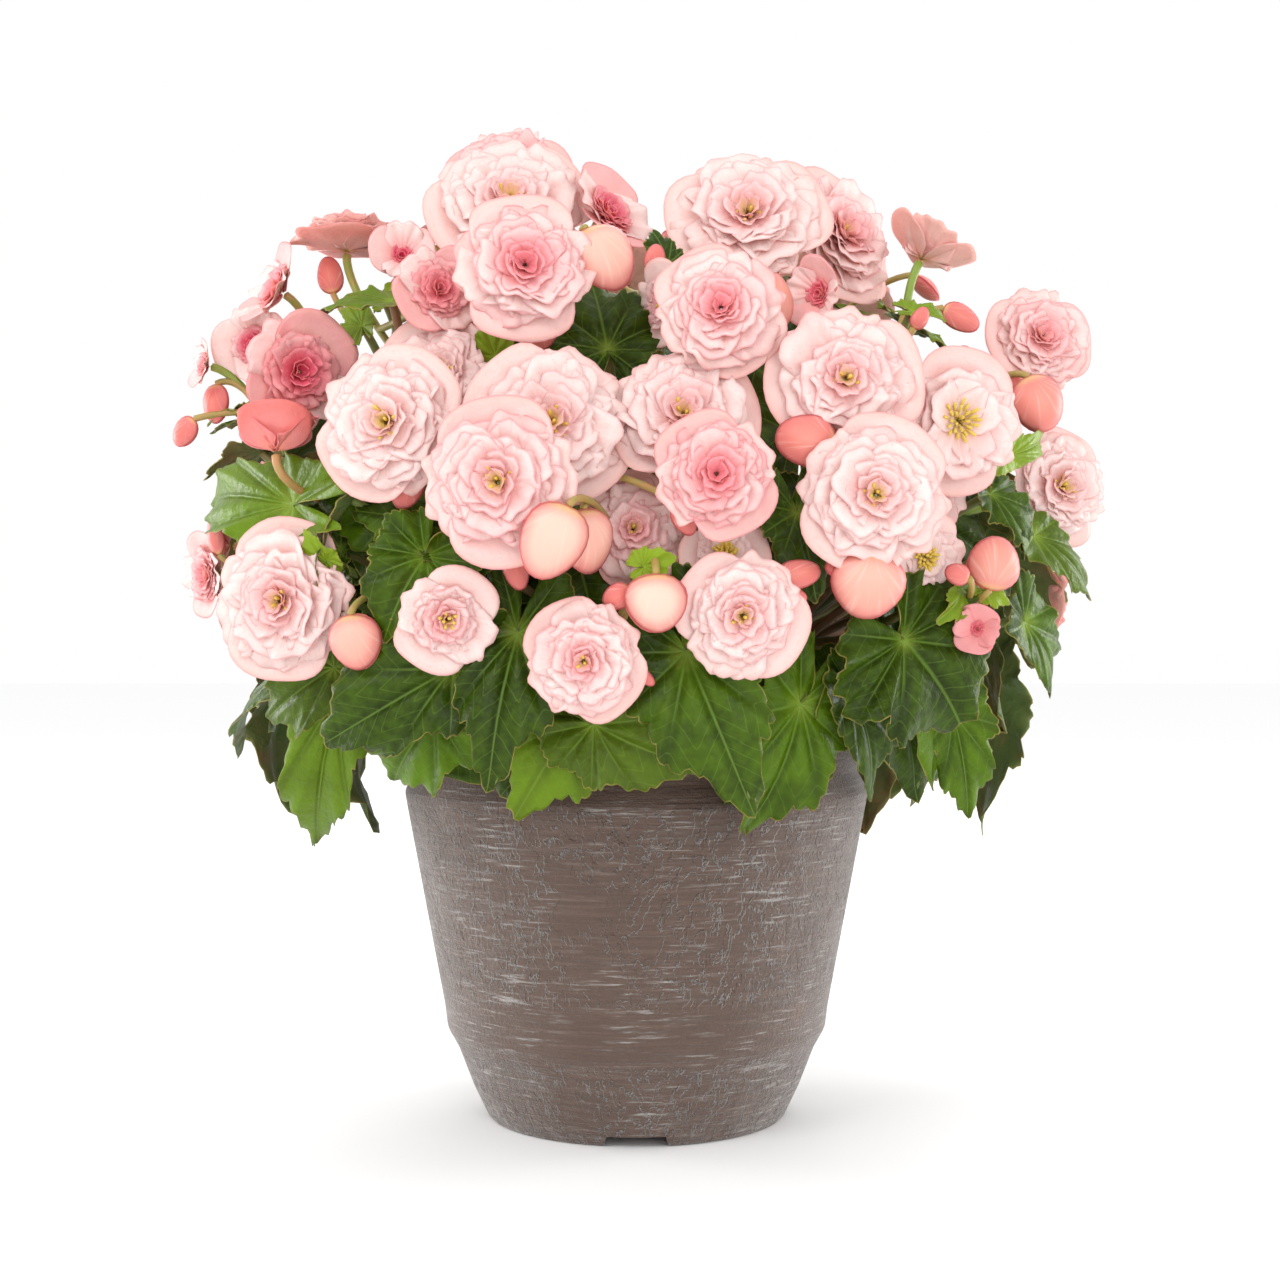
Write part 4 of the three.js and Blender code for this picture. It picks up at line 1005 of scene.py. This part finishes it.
# Waves of a leaf's face: their height as a share of its half width, how near the rim they rise, and
# how many they are.
RIPPLES = [(0.1, 3, 5), (0.07, 3, 11), (0.05, 8, 19)]
QUILT = {"height": 0.065, "flat": 0.8}
LEAF_STALK_BELOW = 0.6
LEAF_WALL = (0.55, 0.3)  # its thickness in the middle, and how much less at the rim


def add_leaf(shape, leaf):
    at, axes, long, side = (leaf[k] for k in ("at", "axes", "long", "side"))
    half = leaf["wide"] / 2
    young = leaf.get("young", 0)
    inside = leaf.get("inside", False)
    columns, scallops = (INNER_COLUMNS, INNER_SCALLOPS) if inside else (LEAF_COLUMNS, SCALLOPS)
    bend = (np.arange(columns) - columns / 2) * 2 * math.pi / columns
    degrees = np.degrees(bend)
    reach = LEAF["lobe"] + (1 - LEAF["lobe"]) * np.exp(-((degrees / LEAF["point"]) ** 2))
    nearest = np.min(np.abs(np.abs(bend)[:, None] - VEINS[None, :]), axis=1)
    fade = np.exp(-((degrees / LOBES["fade"]) ** 2))
    lobes = 1 + LOBES["depth"] * (np.cos(nearest * math.pi / VEIN_SPAN) - LOBES["middle"]) * fade
    sinus = np.clip((np.abs(degrees) - LEAF["sinus"]) / (180 - LEAF["sinus"]), 0, 1)
    scallop = np.abs(np.sin(bend * scallops + rng.uniform(0, 3)))
    teeth = TEETH["least"] + TEETH["depth"] * scallop ** TEETH["round"]
    drift = 1 + TEETH["drift"] * np.sin(bend * TEETH["drift_waves"] + rng.uniform(0, 6))
    teeth = teeth * drift + rng.uniform(-TEETH["rough"], TEETH["rough"], columns)
    reach = reach * lobes * teeth * TEETH["scale"]
    reach = lerp(reach, -LEAF["sinus_depth"], sinus**0.7)
    fuller = np.where(np.sign(bend) == side, LEAF["fuller"], 2 - LEAF["fuller"])
    u = LEAF_RINGS * reach * np.cos(bend)
    v = LEAF_RINGS * reach / LEAF["lobe"] * np.sin(bend) * fuller
    z = LEAF["arch"] * long * np.maximum(u * (1 - u), 0) + LEAF["fold"] * half * np.abs(v)
    for (height, power, count), phase in zip(RIPPLES, rng.uniform(0, 2 * math.pi, len(RIPPLES))):
        z = z + height * half * LEAF_RINGS**power * np.sin(bend * count + phase)
    quilt = np.sin(np.clip(nearest / VEIN_SPAN, 0, 1) * math.pi / 2)
    z = z + QUILT["height"] * half * quilt * np.sin(LEAF_RINGS * math.pi) ** QUILT["flat"]
    x, y = u * long, v * half
    rings = placed(at, axes, x, y, z)
    distance = np.hypot(x, y)
    outline = distance[-1]
    values = {
        "rim": (1 - LEAF_RINGS) * outline,
        "along": distance * np.cos(nearest),
        "across": distance * np.sin(np.minimum(nearest, math.pi / 2)),
        "tint": rng.uniform(),
        "core": young,
        "depth": np.clip(distance / long, 0, 1),
    }
    hub_values = {"rim": outline.mean(), "tint": values["tint"], "core": young}
    thickness = np.broadcast_to(LEAF_WALL[0] - LEAF_WALL[1] * LEAF_RINGS, rings.shape[:2])
    add_disc(shape, at, rings, values, hub_values, thickness, LEAF_LOOK)
    path = bezier(*leaf["stalk"], 12)
    path[-1] = at - axes[2] * LEAF_STALK_BELOW
    radii = np.linspace(*LEAF_STALK, len(path))
    values = {"tint": rng.uniform(), "blush": rng.uniform(0, 0.5)}
    add_tube(shape, path, radii, STALK_SIDES, values, STEM_LOOK)


# ---------------------------------------------------------------- looks


def srgb(*levels):
    """A colour given as 0 to 255 levels."""
    linear = [((v / 255 + 0.055) / 1.055) ** 2.4 if v > 10 else v / 255 / 12.92 for v in levels]
    return (*linear, 1)


class Value:
    """A value in a look's nodes. Each sum with it, and each ramp of it, is one more node."""

    def __init__(self, look, socket):
        self.look, self.socket = look, socket

    def __mul__(self, other):
        return self.look.math("MULTIPLY", self, other)

    def __truediv__(self, other):
        return self.look.math("DIVIDE", self, other)

    def __add__(self, other):
        return self.look.math("ADD", self, other)

    def __sub__(self, other):
        return self.look.math("SUBTRACT", self, other)

    def __abs__(self):
        return self.look.math("ABSOLUTE", self)

    def ramp(self, low, high, start=0.0, end=1.0):
        """Smoothly from start, at low, to end, at high."""
        return self.look.node("MapRange", self, low, high, start, end, interpolation_type="SMOOTHSTEP")


class Look:
    """A node-built material, whose settings are the shader's own sockets."""

    def __init__(self, name, **settings):
        self.material = bpy.data.materials.new(name)
        self.material.use_nodes = True
        self.tree = self.material.node_tree
        self.shader = self.tree.nodes["Principled BSDF"]
        for key, value in settings.items():
            self.shader.inputs[key.replace("_", " ")].default_value = value

    def put(self, slot, value):
        if isinstance(value, Value):
            self.tree.links.new(value.socket, slot)
        else:
            slot.default_value = value

    def node(self, kind, *inputs, output=0, **settings):
        made = self.tree.nodes.new("ShaderNode" + kind)
        for key, value in settings.items():
            setattr(made, key, value)
        for slot, value in zip(made.inputs, inputs):
            self.put(slot, value)
        return Value(self, made.outputs[output])

    def named(self, kind, **inputs):
        made = self.tree.nodes.new("ShaderNode" + kind)
        for key, value in inputs.items():
            self.put(made.inputs[key], value)
        return Value(self, made.outputs[0])

    def fields(self, *names):
        return [self.node("Attribute", attribute_name=name, output=2) for name in names]

    def math(self, operation, *inputs):
        return self.node("Math", *inputs, operation=operation)

    def place(self):
        return self.node("TexCoord", output=3)

    def noise(self, vector, scale, detail=3.0, roughness=0.5):
        return self.named("TexNoise", Vector=vector, Scale=scale, Detail=detail, Roughness=roughness)

    def streaks(self, count):
        """Fine lines that fan out from a petal's root."""
        across, along, tint = self.fields("across", "along", "tint")
        return self.noise(self.node("CombineXYZ", across * count, along, tint * 90.0), 1.0)

    def layers(self, base, *coats):
        """A base colour under coats, each a colour and its share; colours are 0 to 255 levels."""
        colour = base
        for coat, share in coats:
            mix = self.tree.nodes.new("ShaderNodeMix")
            mix.data_type = "RGBA"
            self.put(mix.inputs[0], share)
            for slot, value in ((6, colour), (7, coat)):
                self.put(mix.inputs[slot], srgb(*value) if isinstance(value, tuple) else value)
            colour = Value(self, mix.outputs[2])
        return colour

    def bump(self, height, strength, distance):
        raised = self.named("Bump", Height=height, Strength=strength, Distance=distance)
        self.put(self.shader.inputs["Normal"], raised)

    def finish(self, colour, roughness):
        self.put(self.shader.inputs["Base Color"], colour)
        self.put(self.shader.inputs["Roughness"], roughness)
        return self.material


def petal_look():
    look = Look(
        "petal",
        Subsurface_Weight=0.12,
        Subsurface_Scale=0.0015,
        Subsurface_Radius=(1.0, 0.85, 0.8),
        Specular_IOR_Level=0.15,
    )
    rim, depth, core, blush, side = look.fields("rim", "depth", "core", "blush", "side")
    streak = look.streaks(9.0)
    pink = blush + (look.noise(look.place(), 90.0, 2.0) - 0.5) * 0.5
    lines = streak.ramp(0.52, 0.8) * 0.3
    # Painted light: the petals' hollows, away from their rims, are tinted a warm pink that stands in for
    # light glowing through the petals in the shade between them.
    painted_hollow_glow = rim.ramp(1.2, 7.0) * depth.ramp(1.0, 0.75) * 0.5
    rosy = depth.ramp(0.6, 0.06) * core
    crimson = depth.ramp(0.5, 0.1) * core.ramp(0.7, 1.0)
    flushed = rim.ramp(5.0, 0.5) * depth.ramp(0.7, 1.0, 0.0, 0.45)
    yellow = depth.ramp(0.14, 0.03) * core.ramp(0.6, 0.1)
    edge = rim.ramp(0.6, 0.1) * pink.ramp(0.0, 0.6, 0.35, 0.75)
    back = look.layers(
        (243, 182, 172),
        ((232, 114, 107), pink.ramp(0.1, 0.9)),
        ((242, 150, 100), depth.ramp(0.4, 0.05, 0.0, 0.6)),
        ((214, 96, 100), lines),
    )
    colour = look.layers(
        (243, 219, 214),
        ((236, 160, 161), pink.ramp(0.0, 1.0)),
        ((241, 186, 178), painted_hollow_glow),
        ((244, 128, 142), rosy),
        ((214, 60, 96), crimson),
        ((232, 168, 160), lines),
        ((241, 168, 152), flushed),
        ((232, 204, 96), yellow),
        ((236, 142, 148), edge),
        (back, side * depth.ramp(0.3, 0.8, 0.5, 1.0)),
    )
    crumple = look.noise(look.place(), 330.0, 2.0) * depth.ramp(1.0, 0.8, 0.25, 1.0)
    look.bump(crumple + streak * 0.4, 0.32, 0.0011)
    return look.finish(colour, streak.ramp(0.2, 0.8, 0.5, 0.66))


def bud_look():
    look = Look(
        "bud",
        Subsurface_Weight=0.1,
        Subsurface_Scale=0.002,
        Subsurface_Radius=(1.0, 0.5, 0.3),
        Specular_IOR_Level=0.4,
    )
    rim, along, tint = look.fields("rim", "along", "tint")
    streak = look.streaks(11.0)
    coral = tint.ramp(0.6, 1.0, 0.0, 0.9) * rim.ramp(9.0, 1.0, 0.35, 1.0)
    colour = look.layers(
        (244, 200, 182),
        ((238, 150, 134), (tint * 0.75 + along * 0.25).ramp(0.05, 0.85)),
        ((226, 106, 100), coral),
        ((232, 128, 124), rim.ramp(4.0, 0.3, 0.0, 0.7)),
        ((242, 192, 132), along.ramp(0.16, 0.0)),
        ((248, 214, 196), streak.ramp(0.5, 0.75) * 0.35),
        ((216, 92, 98), rim.ramp(0.6, 0.15, 0.0, 0.8)),
    )
    look.bump(streak, 0.2, 0.0006)
    return look.finish(colour, streak.ramp(0.2, 0.8, 0.38, 0.52))


def stalk_look():
    look = Look("flower_stalk", Subsurface_Weight=0.05, Subsurface_Scale=0.001)
    (blush,) = look.fields("blush")
    grain = look.noise(look.place(), 400.0)
    share = blush * 0.6 + grain * 0.5
    look.bump(grain, 0.2, 0.0004)
    colour = look.layers((132, 160, 60), ((200, 132, 96), share.ramp(0.35, 1.1)))
    return look.finish(colour, grain.ramp(0.2, 0.8, 0.4, 0.55))


def stamen_look():
    look = Look("stamen")
    grain = look.noise(look.place(), 1500.0, 2.0)
    look.bump(grain, 0.5, 0.0004)
    colour = look.layers((240, 214, 104), ((214, 186, 74), grain))
    return look.finish(colour, grain.ramp(0.2, 0.8, 0.6, 0.8))


def leaf_look():
    look = Look("leaf", Specular_IOR_Level=0.16, Subsurface_Weight=0.08, Subsurface_Scale=0.001)
    rim, along, across, depth = look.fields("rim", "along", "across", "depth")
    tint, young, side = look.fields("tint", "core", "side")
    place = look.place()
    cloud = look.noise(place, 45.0, 5.0, 0.65)
    mottled = look.noise(place, 420.0) * 0.4 + cloud * 0.6
    # Side veins leave each main vein at a slant, a few millimetres apart.
    wobble = look.noise(place, 120.0, 2.0) * 2.4
    phase = look.math("FRACT", (along - across * 0.9 + wobble) / 4.6)
    side_vein = abs(phase - 0.5).ramp(0.43, 0.5) * 0.5
    main_vein = across.ramp(rim * 0.018 + 0.25, 0.05)
    vein = look.math("MAXIMUM", main_vein, side_vein) * 0.45
    # Painted shade: the leaf is darkened in the sunken grooves along its main veins, away from its base.
    painted_vein_shade = across.ramp(3.0, 0.4, 0.0, 0.35) * depth.ramp(0.1, 0.3)
    edge = rim.ramp(0.5, 0.1) * look.noise(place, 160.0, 2.0).ramp(0.35, 0.65, 0.2, 0.75)
    under = look.layers((96, 118, 66), ((132, 112, 78), cloud.ramp(0.4, 0.75)))
    colour = look.layers(
        (39, 55, 6),
        ((66, 92, 10), mottled.ramp(0.3, 0.7)),
        ((94, 128, 12), (tint + cloud).ramp(0.95, 1.7, 0.0, 0.9)),
        ((138, 160, 56), depth.ramp(0.16, 0.0) * 0.7),
        ((22, 34, 8), painted_vein_shade),
        ((116, 148, 58), vein),
        ((140, 168, 40), young),
        (under, side),
        ((164, 148, 76), edge),
    )
    look.bump(look.noise(place, 330.0) * 0.9 + across.ramp(2.4, 0.2) * -0.4, 0.5, 0.0014)
    return look.finish(colour, cloud.ramp(0.3, 0.7, 0.3, 0.44))


def stem_look():
    look = Look("stem", Subsurface_Weight=0.05, Subsurface_Scale=0.001)
    (blush,) = look.fields("blush")
    grain = look.noise(look.place(), 260.0, 4.0)
    colour = look.layers((104, 132, 58), ((150, 96, 70), (blush + grain * 0.4).ramp(0.2, 0.9)))
    look.bump(grain, 0.3, 0.0005)
    return look.finish(colour, grain.ramp(0.2, 0.8, 0.4, 0.6))


def soil_look():
    look = Look("soil")
    place = look.place()
    grain = look.noise(place, 500.0, 5.0, 0.7)
    flecks = look.noise(place, 900.0, 2.0).ramp(0.68, 0.74)
    colour = look.layers((30, 21, 15), ((78, 58, 42), grain.ramp(0.3, 0.75)), ((120, 96, 70), flecks))
    look.bump(grain, 0.9, 0.002)
    return look.finish(colour, grain.ramp(0.2, 0.8, 0.85, 1.0))


def pot_look():
    """Brown resin with a pale wash brushed round it, and raised chips on the wall and the foot."""
    look = Look("whitewashed_resin", Specular_IOR_Level=0.35, Sheen_Weight=0.55, Sheen_Roughness=0.32)
    place = look.place()
    x, y, height = (look.node("SeparateXYZ", place, output=i) for i in range(3))
    turn = look.math("ARCTAN2", y, x)
    sine, cosine = look.math("SINE", turn), look.math("COSINE", turn)

    def round_pot(height_scale):
        return look.node("CombineXYZ", sine, cosine, height * height_scale)

    scratch = look.noise(round_pot(260.0), 4.6, 6.0, 0.66)
    brushed = look.noise(round_pot(420.0), 2.2, 5.0, 0.7)
    chips = look.noise(round_pot(9.0), 8.2, 4.5, 0.6)
    cloud = look.noise(place, 34.0)
    grain = look.noise(place, 900.0, 3.0, 0.6)
    wall = height.ramp(0.04, 0.045) * height.ramp(0.101, 0.097)
    foot = height.ramp(0.026, 0.023)
    worn = look.noise(place, 42.0, 4.0, 0.6).ramp(0.34, 0.5) * look.math("MAXIMUM", wall, foot)
    outline = look.math("MINIMUM", abs(chips - 0.56), abs(chips - 0.45)).ramp(0.015, 0.003)
    raised = outline * look.noise(place, 240.0).ramp(0.42, 0.58) * worn
    plateau = (chips.ramp(0.55, 0.57) - chips.ramp(0.46, 0.44)) * worn
    colour = look.layers(
        (106, 86, 75),
        ((80, 62, 53), brushed.ramp(0.3, 0.7)),
        ((118, 80, 62), look.noise(place, 75.0, 2.0).ramp(0.62, 0.8, 0.0, 0.25)),
        ((138, 127, 121), brushed.ramp(0.5, 0.7) * cloud.ramp(0.35, 0.7, 0.15, 0.65)),
        ((172, 167, 163), scratch.ramp(0.54, 0.67) * cloud.ramp(0.42, 0.62, 0.15, 0.9)),
        ((154, 143, 135), raised * 0.5),
    )
    colour = look.layers((78, 64, 58), (colour, grain.ramp(0.3, 0.5, 0.8, 1.0)))
    look.bump(grain * 0.4 + scratch * 0.5 + brushed * 0.35 + plateau * 0.55 + raised, 0.95, 0.0012)
    return look.finish(colour, brushed.ramp(0.3, 0.7, 0.42, 0.58))


# ---------------------------------------------------------------- the pot and the soil

TURNS = 160


def lathe(name, profile, turns):
    """A closed body of revolution from [radius, height] points that start and end on the axis."""
    angles = np.arange(turns) * 2 * math.pi / turns
    radii, heights = (np.array(column)[:, None] for column in zip(*profile[1:-1]))
    rings = np.stack([radii * np.cos(angles), radii * np.sin(angles), heights + 0 * angles], axis=-1)
    body = Shape()
    add_rings(body, rings, [[0, 0, profile[0][1]], [0, 0, profile[-1][1]]], {}, 0)
    return body.make(name, [])


def rounded(profile, size=1.1, steps=3):
    """The profile with each corner between its ends cut to a short curve."""
    points = [vec(*p) for p in profile]
    out = [points[0]]
    for before, corner, after in zip(points, points[1:], points[2:]):
        lengths = [np.linalg.norm(p - corner) for p in (before, after)]
        reach = min(size, 0.4 * min(lengths))
        start, end = (corner + unit(p - corner) * reach for p in (before, after))
        out.extend(bezier(start, corner, end, steps))
    return [tuple(p) for p in out + [points[-1]]]


def subtract(obj, cutter):
    modifier = obj.modifiers.new("cut", "BOOLEAN")
    modifier.operation = "DIFFERENCE"
    modifier.solver = "EXACT"
    modifier.object = cutter
    bpy.context.view_layer.update()
    graph = bpy.context.evaluated_depsgraph_get()
    mesh = bpy.data.meshes.new_from_object(obj.evaluated_get(graph))
    obj.modifiers.clear()
    obj.data = mesh
    bpy.data.objects.remove(cutter)


def prism(section, start, depth):
    """A bar along -y from start, with the section's [x, z] points."""
    near = [(x, -start, z) for x, z in section]
    far = [(x, -start - depth, z) for x, z in section]
    count = len(section)
    faces = [tuple(range(count))[::-1], tuple(range(count, 2 * count))]
    faces += [(i, (i + 1) % count, count + (i + 1) % count, count + i) for i in range(count)]
    mesh = bpy.data.meshes.new("bar")
    mesh.from_pydata([tuple(c * MM for c in p) for p in near + far], [], faces)
    clean = bmesh.new()
    clean.from_mesh(mesh)
    bmesh.ops.recalc_face_normals(clean, faces=clean.faces)
    clean.to_mesh(mesh)
    clean.free()
    return link("bar", mesh)


def build_pot():
    profile = [(0, 0), *POT_OUTSIDE, *POT_INSIDE, (0, POT_FLOOR)]
    pot = lathe("pot_body", rounded(profile), TURNS)
    half_foot, half_top = CHANNEL["foot_width"] / 2, CHANNEL["width"] / 2
    height = CHANNEL["height"]
    channel = [(-half_foot, -1), (half_foot, -1), (half_top, height), (-half_top, height)]
    reach, radius = DRAIN["length"] / 2, DRAIN["radius"]
    for turn in range(CHANNEL["count"]):
        angle = turn * 2 * math.pi / CHANNEL["count"]
        bar = prism(channel, CHANNEL["start"], CHANNEL["depth"])
        bar.rotation_euler = (0, 0, angle)
        subtract(pot, bar)
        hole = lathe("drain", [(0, -reach), (radius, -reach), (radius, reach), (0, reach)], 24)
        hole.location = (DRAIN["start"] * MM * math.sin(angle), -DRAIN["start"] * MM * math.cos(angle), 0)
        subtract(pot, hole)
    for face in pot.data.polygons:
        face.use_smooth = True
    pot.data.set_sharp_from_angle(angle=math.radians(40))
    pot.data.materials.clear()
    pot.data.materials.append(pot_look())
    settle(pot, "pot", "pot")


def settle(obj, slot, *nodes):
    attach(obj, "root")
    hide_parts(*nodes)


SOIL = {
    "rings": 34,
    "turns": 120,
    "radius": 63.6,
    "below": 2.5,
    "wall_gap": (0.7, 0.35),
    "grain": 0.45,
    "grit": (0.3, 6),
}
SOIL_CROWN = {"height": 3, "radius": 60, "slope": 24}
LUMPS = {"height": 1.1, "x": 0.31, "y": 0.27}
CRUMBS = {"count": 520, "radius": 61, "size": (0.7, 2.2), "sides": 7, "cap": 0.8}
CRUMB_ROUGH = [(0.75, 1.2), (0.75, 1.2), (0.7, 1.3)]  # in x, y and z
CRUMB_LEVELS = [(-0.5, 0.7), (0.1, 1.0), (0.55, 0.6)]  # height and width, as shares of the size


def soil_height(radius, x, y):
    share = np.clip((SOIL_CROWN["radius"] - radius) / SOIL_CROWN["slope"], 0, 1)
    lump = LUMPS["height"] * np.sin(x * LUMPS["x"] + 1) * np.cos(y * LUMPS["y"])
    return SOIL_LEVEL + SOIL_CROWN["height"] * share + lump


def build_soil():
    """A lumpy bed of crumbs on a plain body that fills the pot."""
    radii = np.linspace(1, SOIL["radius"], SOIL["rings"])[:, None]
    angles = np.arange(SOIL["turns"]) * 2 * math.pi / SOIL["turns"]
    x, y = radii * np.cos(angles), radii * np.sin(angles)
    top = soil_height(radii, x, y)
    grit, steep = SOIL["grit"]
    top = top + rng.normal(0, SOIL["grain"], top.shape) + rng.normal(0, grit, top.shape) ** 2 * steep
    top[-1] = SOIL_LEVEL - SOIL["below"]
    rings = [np.stack([x, y, top], axis=-1)]
    inwards, up = SOIL["wall_gap"]
    side = [(r - inwards, z + up) for r, z in POT_INSIDE if z < SOIL_LEVEL]
    for r, z in side:
        rings.append(np.stack([r * np.cos(angles), r * np.sin(angles), z + 0 * angles], axis=-1)[None])
    ends = [[0, 0, SOIL_LEVEL + SOIL_CROWN["height"]], [0, 0, side[-1][1]]]
    bed = Shape()
    add_rings(bed, np.concatenate(rings), ends, {}, 0, downwards=True)
    for _ in range(CRUMBS["count"]):
        add_crumb(bed)
    settle(bed.make("soil_bed", [soil_look()]), "soil", "soil")


def add_crumb(shape):
    radius, turn = CRUMBS["radius"] * math.sqrt(rng.uniform()), rng.uniform(0, 2 * math.pi)
    size = rng.uniform(*CRUMBS["size"])
    x, y = radius * math.cos(turn), radius * math.sin(turn)
    middle = vec(x, y, soil_height(radius, x, y))
    rings = np.zeros((len(CRUMB_LEVELS), CRUMBS["sides"], 3))
    for ring, (level, width) in zip(rings, CRUMB_LEVELS):
        for i, point in enumerate(ring):
            angle = i * 2 * math.pi / CRUMBS["sides"]
            reach = vec(width * math.cos(angle), width * math.sin(angle), level) * size
            point[:] = middle + reach * [rng.uniform(*span) for span in CRUMB_ROUGH]
    ends = [middle - UP * size * CRUMBS["cap"], middle + UP * size * CRUMBS["cap"]]
    add_rings(shape, rings, ends, {}, 0)


# ---------------------------------------------------------------- the plant


def build_sprays(sprays):
    looks = [petal_look(), bud_look(), stalk_look(), stamen_look()]
    for name, (blooms, buds) in sprays.items():
        shape = Shape()
        for bloom in blooms:
            add_bloom(shape, bloom)
        for bud in buds:
            add_bud(shape, bud)
        settle(shape.make(f"spray_{name}_flowers", looks), "bloom", f"spray_{name}")


def build_stems(forks, leaves):
    looks = [leaf_look(), stem_look()]
    for stem in STEMS:
        shape = Shape()
        path = stem_curve(stem, 15)
        radii = np.linspace(STEM["radius"], STEM["top_radius"], len(path))
        add_tube(shape, path, radii, STEM["sides"], {"blush": STEM["blush"]}, STEM_LOOK)
        for fork in forks:
            if fork["stem"] == stem:
                path = bezier(*fork["stalk"], 12)
                radii = np.full(len(path), FORK_STALK["radius"])
                add_tube(shape, path, radii, STALK_SIDES, {"blush": FORK_STALK["blush"]}, STEM_LOOK)
        for leaf in leaves:
            if leaf["stem"] == stem:
                add_leaf(shape, leaf)
        settle(shape.make(f"leafy_stem_{stem}_fine", looks), "leafy_stem", f"leafy_stem_{stem}")


def build_plant():
    draws = seeded_draws(SEED)
    sprays = {}
    for name, (blooms, buds) in SPRAYS.items():
        sprays[name] = ([bloom_row(row) for row in blooms], [bud_row(row) for row in buds])
    forks = [spray_of(blooms, buds) for blooms, buds in sprays.values()]
    for i, bloom in enumerate(back_blooms(draws)):
        forks.append(spray_of([bloom], []))
        sprays[f"back_{i + 1}"] = beside(bloom)
    for name, *row in SMALL_BUDS:
        blooms, buds = sprays[name]
        bud = bud_row(row)
        hang(bud, halfway((blooms + buds)[0]["stalk"]))
        buds.append(bud)
    leaves = [leaf_row(row) for row in LEAVES]
    leaves += back_leaves(draws)
    set_stalks(forks + leaves)
    leaves += [inner(leaf_row(row)) for row in BRACTS]
    leaves += filler_leaves()
    build_sprays(sprays)
    leaves += [inner(leaf_row(row)) for row in DEEP_LEAVES]
    build_stems(forks, leaves)


# ---------------------------------------------------------------- the view


PHOTO_WIDTH = 1280
FOCAL_PIXELS = 1990
SENSOR_WIDTH = 36
FLOOR_REACH = 6.0
# Large soft lights: place and aim, size, all in metres, and power in watts.
LIGHTS = {
    "key": ((-0.9, -1.1, 1.3), (0, 0, 0.16), 0.9, 8),
    "fill": ((0.5, -1.9, 0.5), (0, 0, 0.16), 1.3, 8),
    "back": ((0.2, 1.3, 1.2), (0, 0, 0.18), 1.2, 6),
    "left": ((-1.3, 0.45, 0.3), (0, 0, 0.1), 0.7, 9),
    "right": ((1.3, 0.45, 0.3), (0, 0, 0.1), 0.7, 9),
}


def area_light(name, place, aim, size, power):
    data = bpy.data.lights.new(name, "AREA")
    data.shape = "DISK"
    data.size = size
    data.energy = power
    light = link(name, data)
    light.location = place
    direction = vec(*aim) - vec(*place)
    turn = math.atan2(direction[0], -direction[1])
    tilt = math.atan2(math.hypot(direction[0], direction[1]), -direction[2])
    light.rotation_euler = (tilt, 0, turn + math.pi)


def build_camera():
    data = bpy.data.cameras.new("camera")
    data.sensor_width = SENSOR_WIDTH
    data.lens = SENSOR_WIDTH * FOCAL_PIXELS / PHOTO_WIDTH
    data.clip_start = 0.01
    camera = link("camera", data)
    camera.location = EYE * MM
    camera.rotation_euler = (math.radians(90), 0, 0)
    bpy.context.scene.camera = camera


def build_floor():
    mesh = bpy.data.meshes.new("floor")
    corners = [(x * FLOOR_REACH, y * FLOOR_REACH, 0) for x, y in ((-1, -1), (1, -1), (1, 1), (-1, 1))]
    mesh.from_pydata(corners, [], [(0, 1, 2, 3)])
    floor = link("floor", mesh)
    floor.data.materials.append(Look("floor", Roughness=0.9, Base_Color=(0.97, 0.97, 0.97, 1)).material)


def build_view():
    build_camera()
    build_floor()
    world = bpy.data.worlds.new("studio")
    world.use_nodes = True
    world.node_tree.nodes["Background"].inputs[0].default_value = (1, 1, 1, 1)
    world.node_tree.nodes["Background"].inputs[1].default_value = 1.0
    bpy.context.scene.world = world
    bpy.context.scene.view_settings.view_transform = "Standard"
    for name, light in LIGHTS.items():
        area_light(name, *light)


build_pot()
build_soil()
build_plant()
build_view()
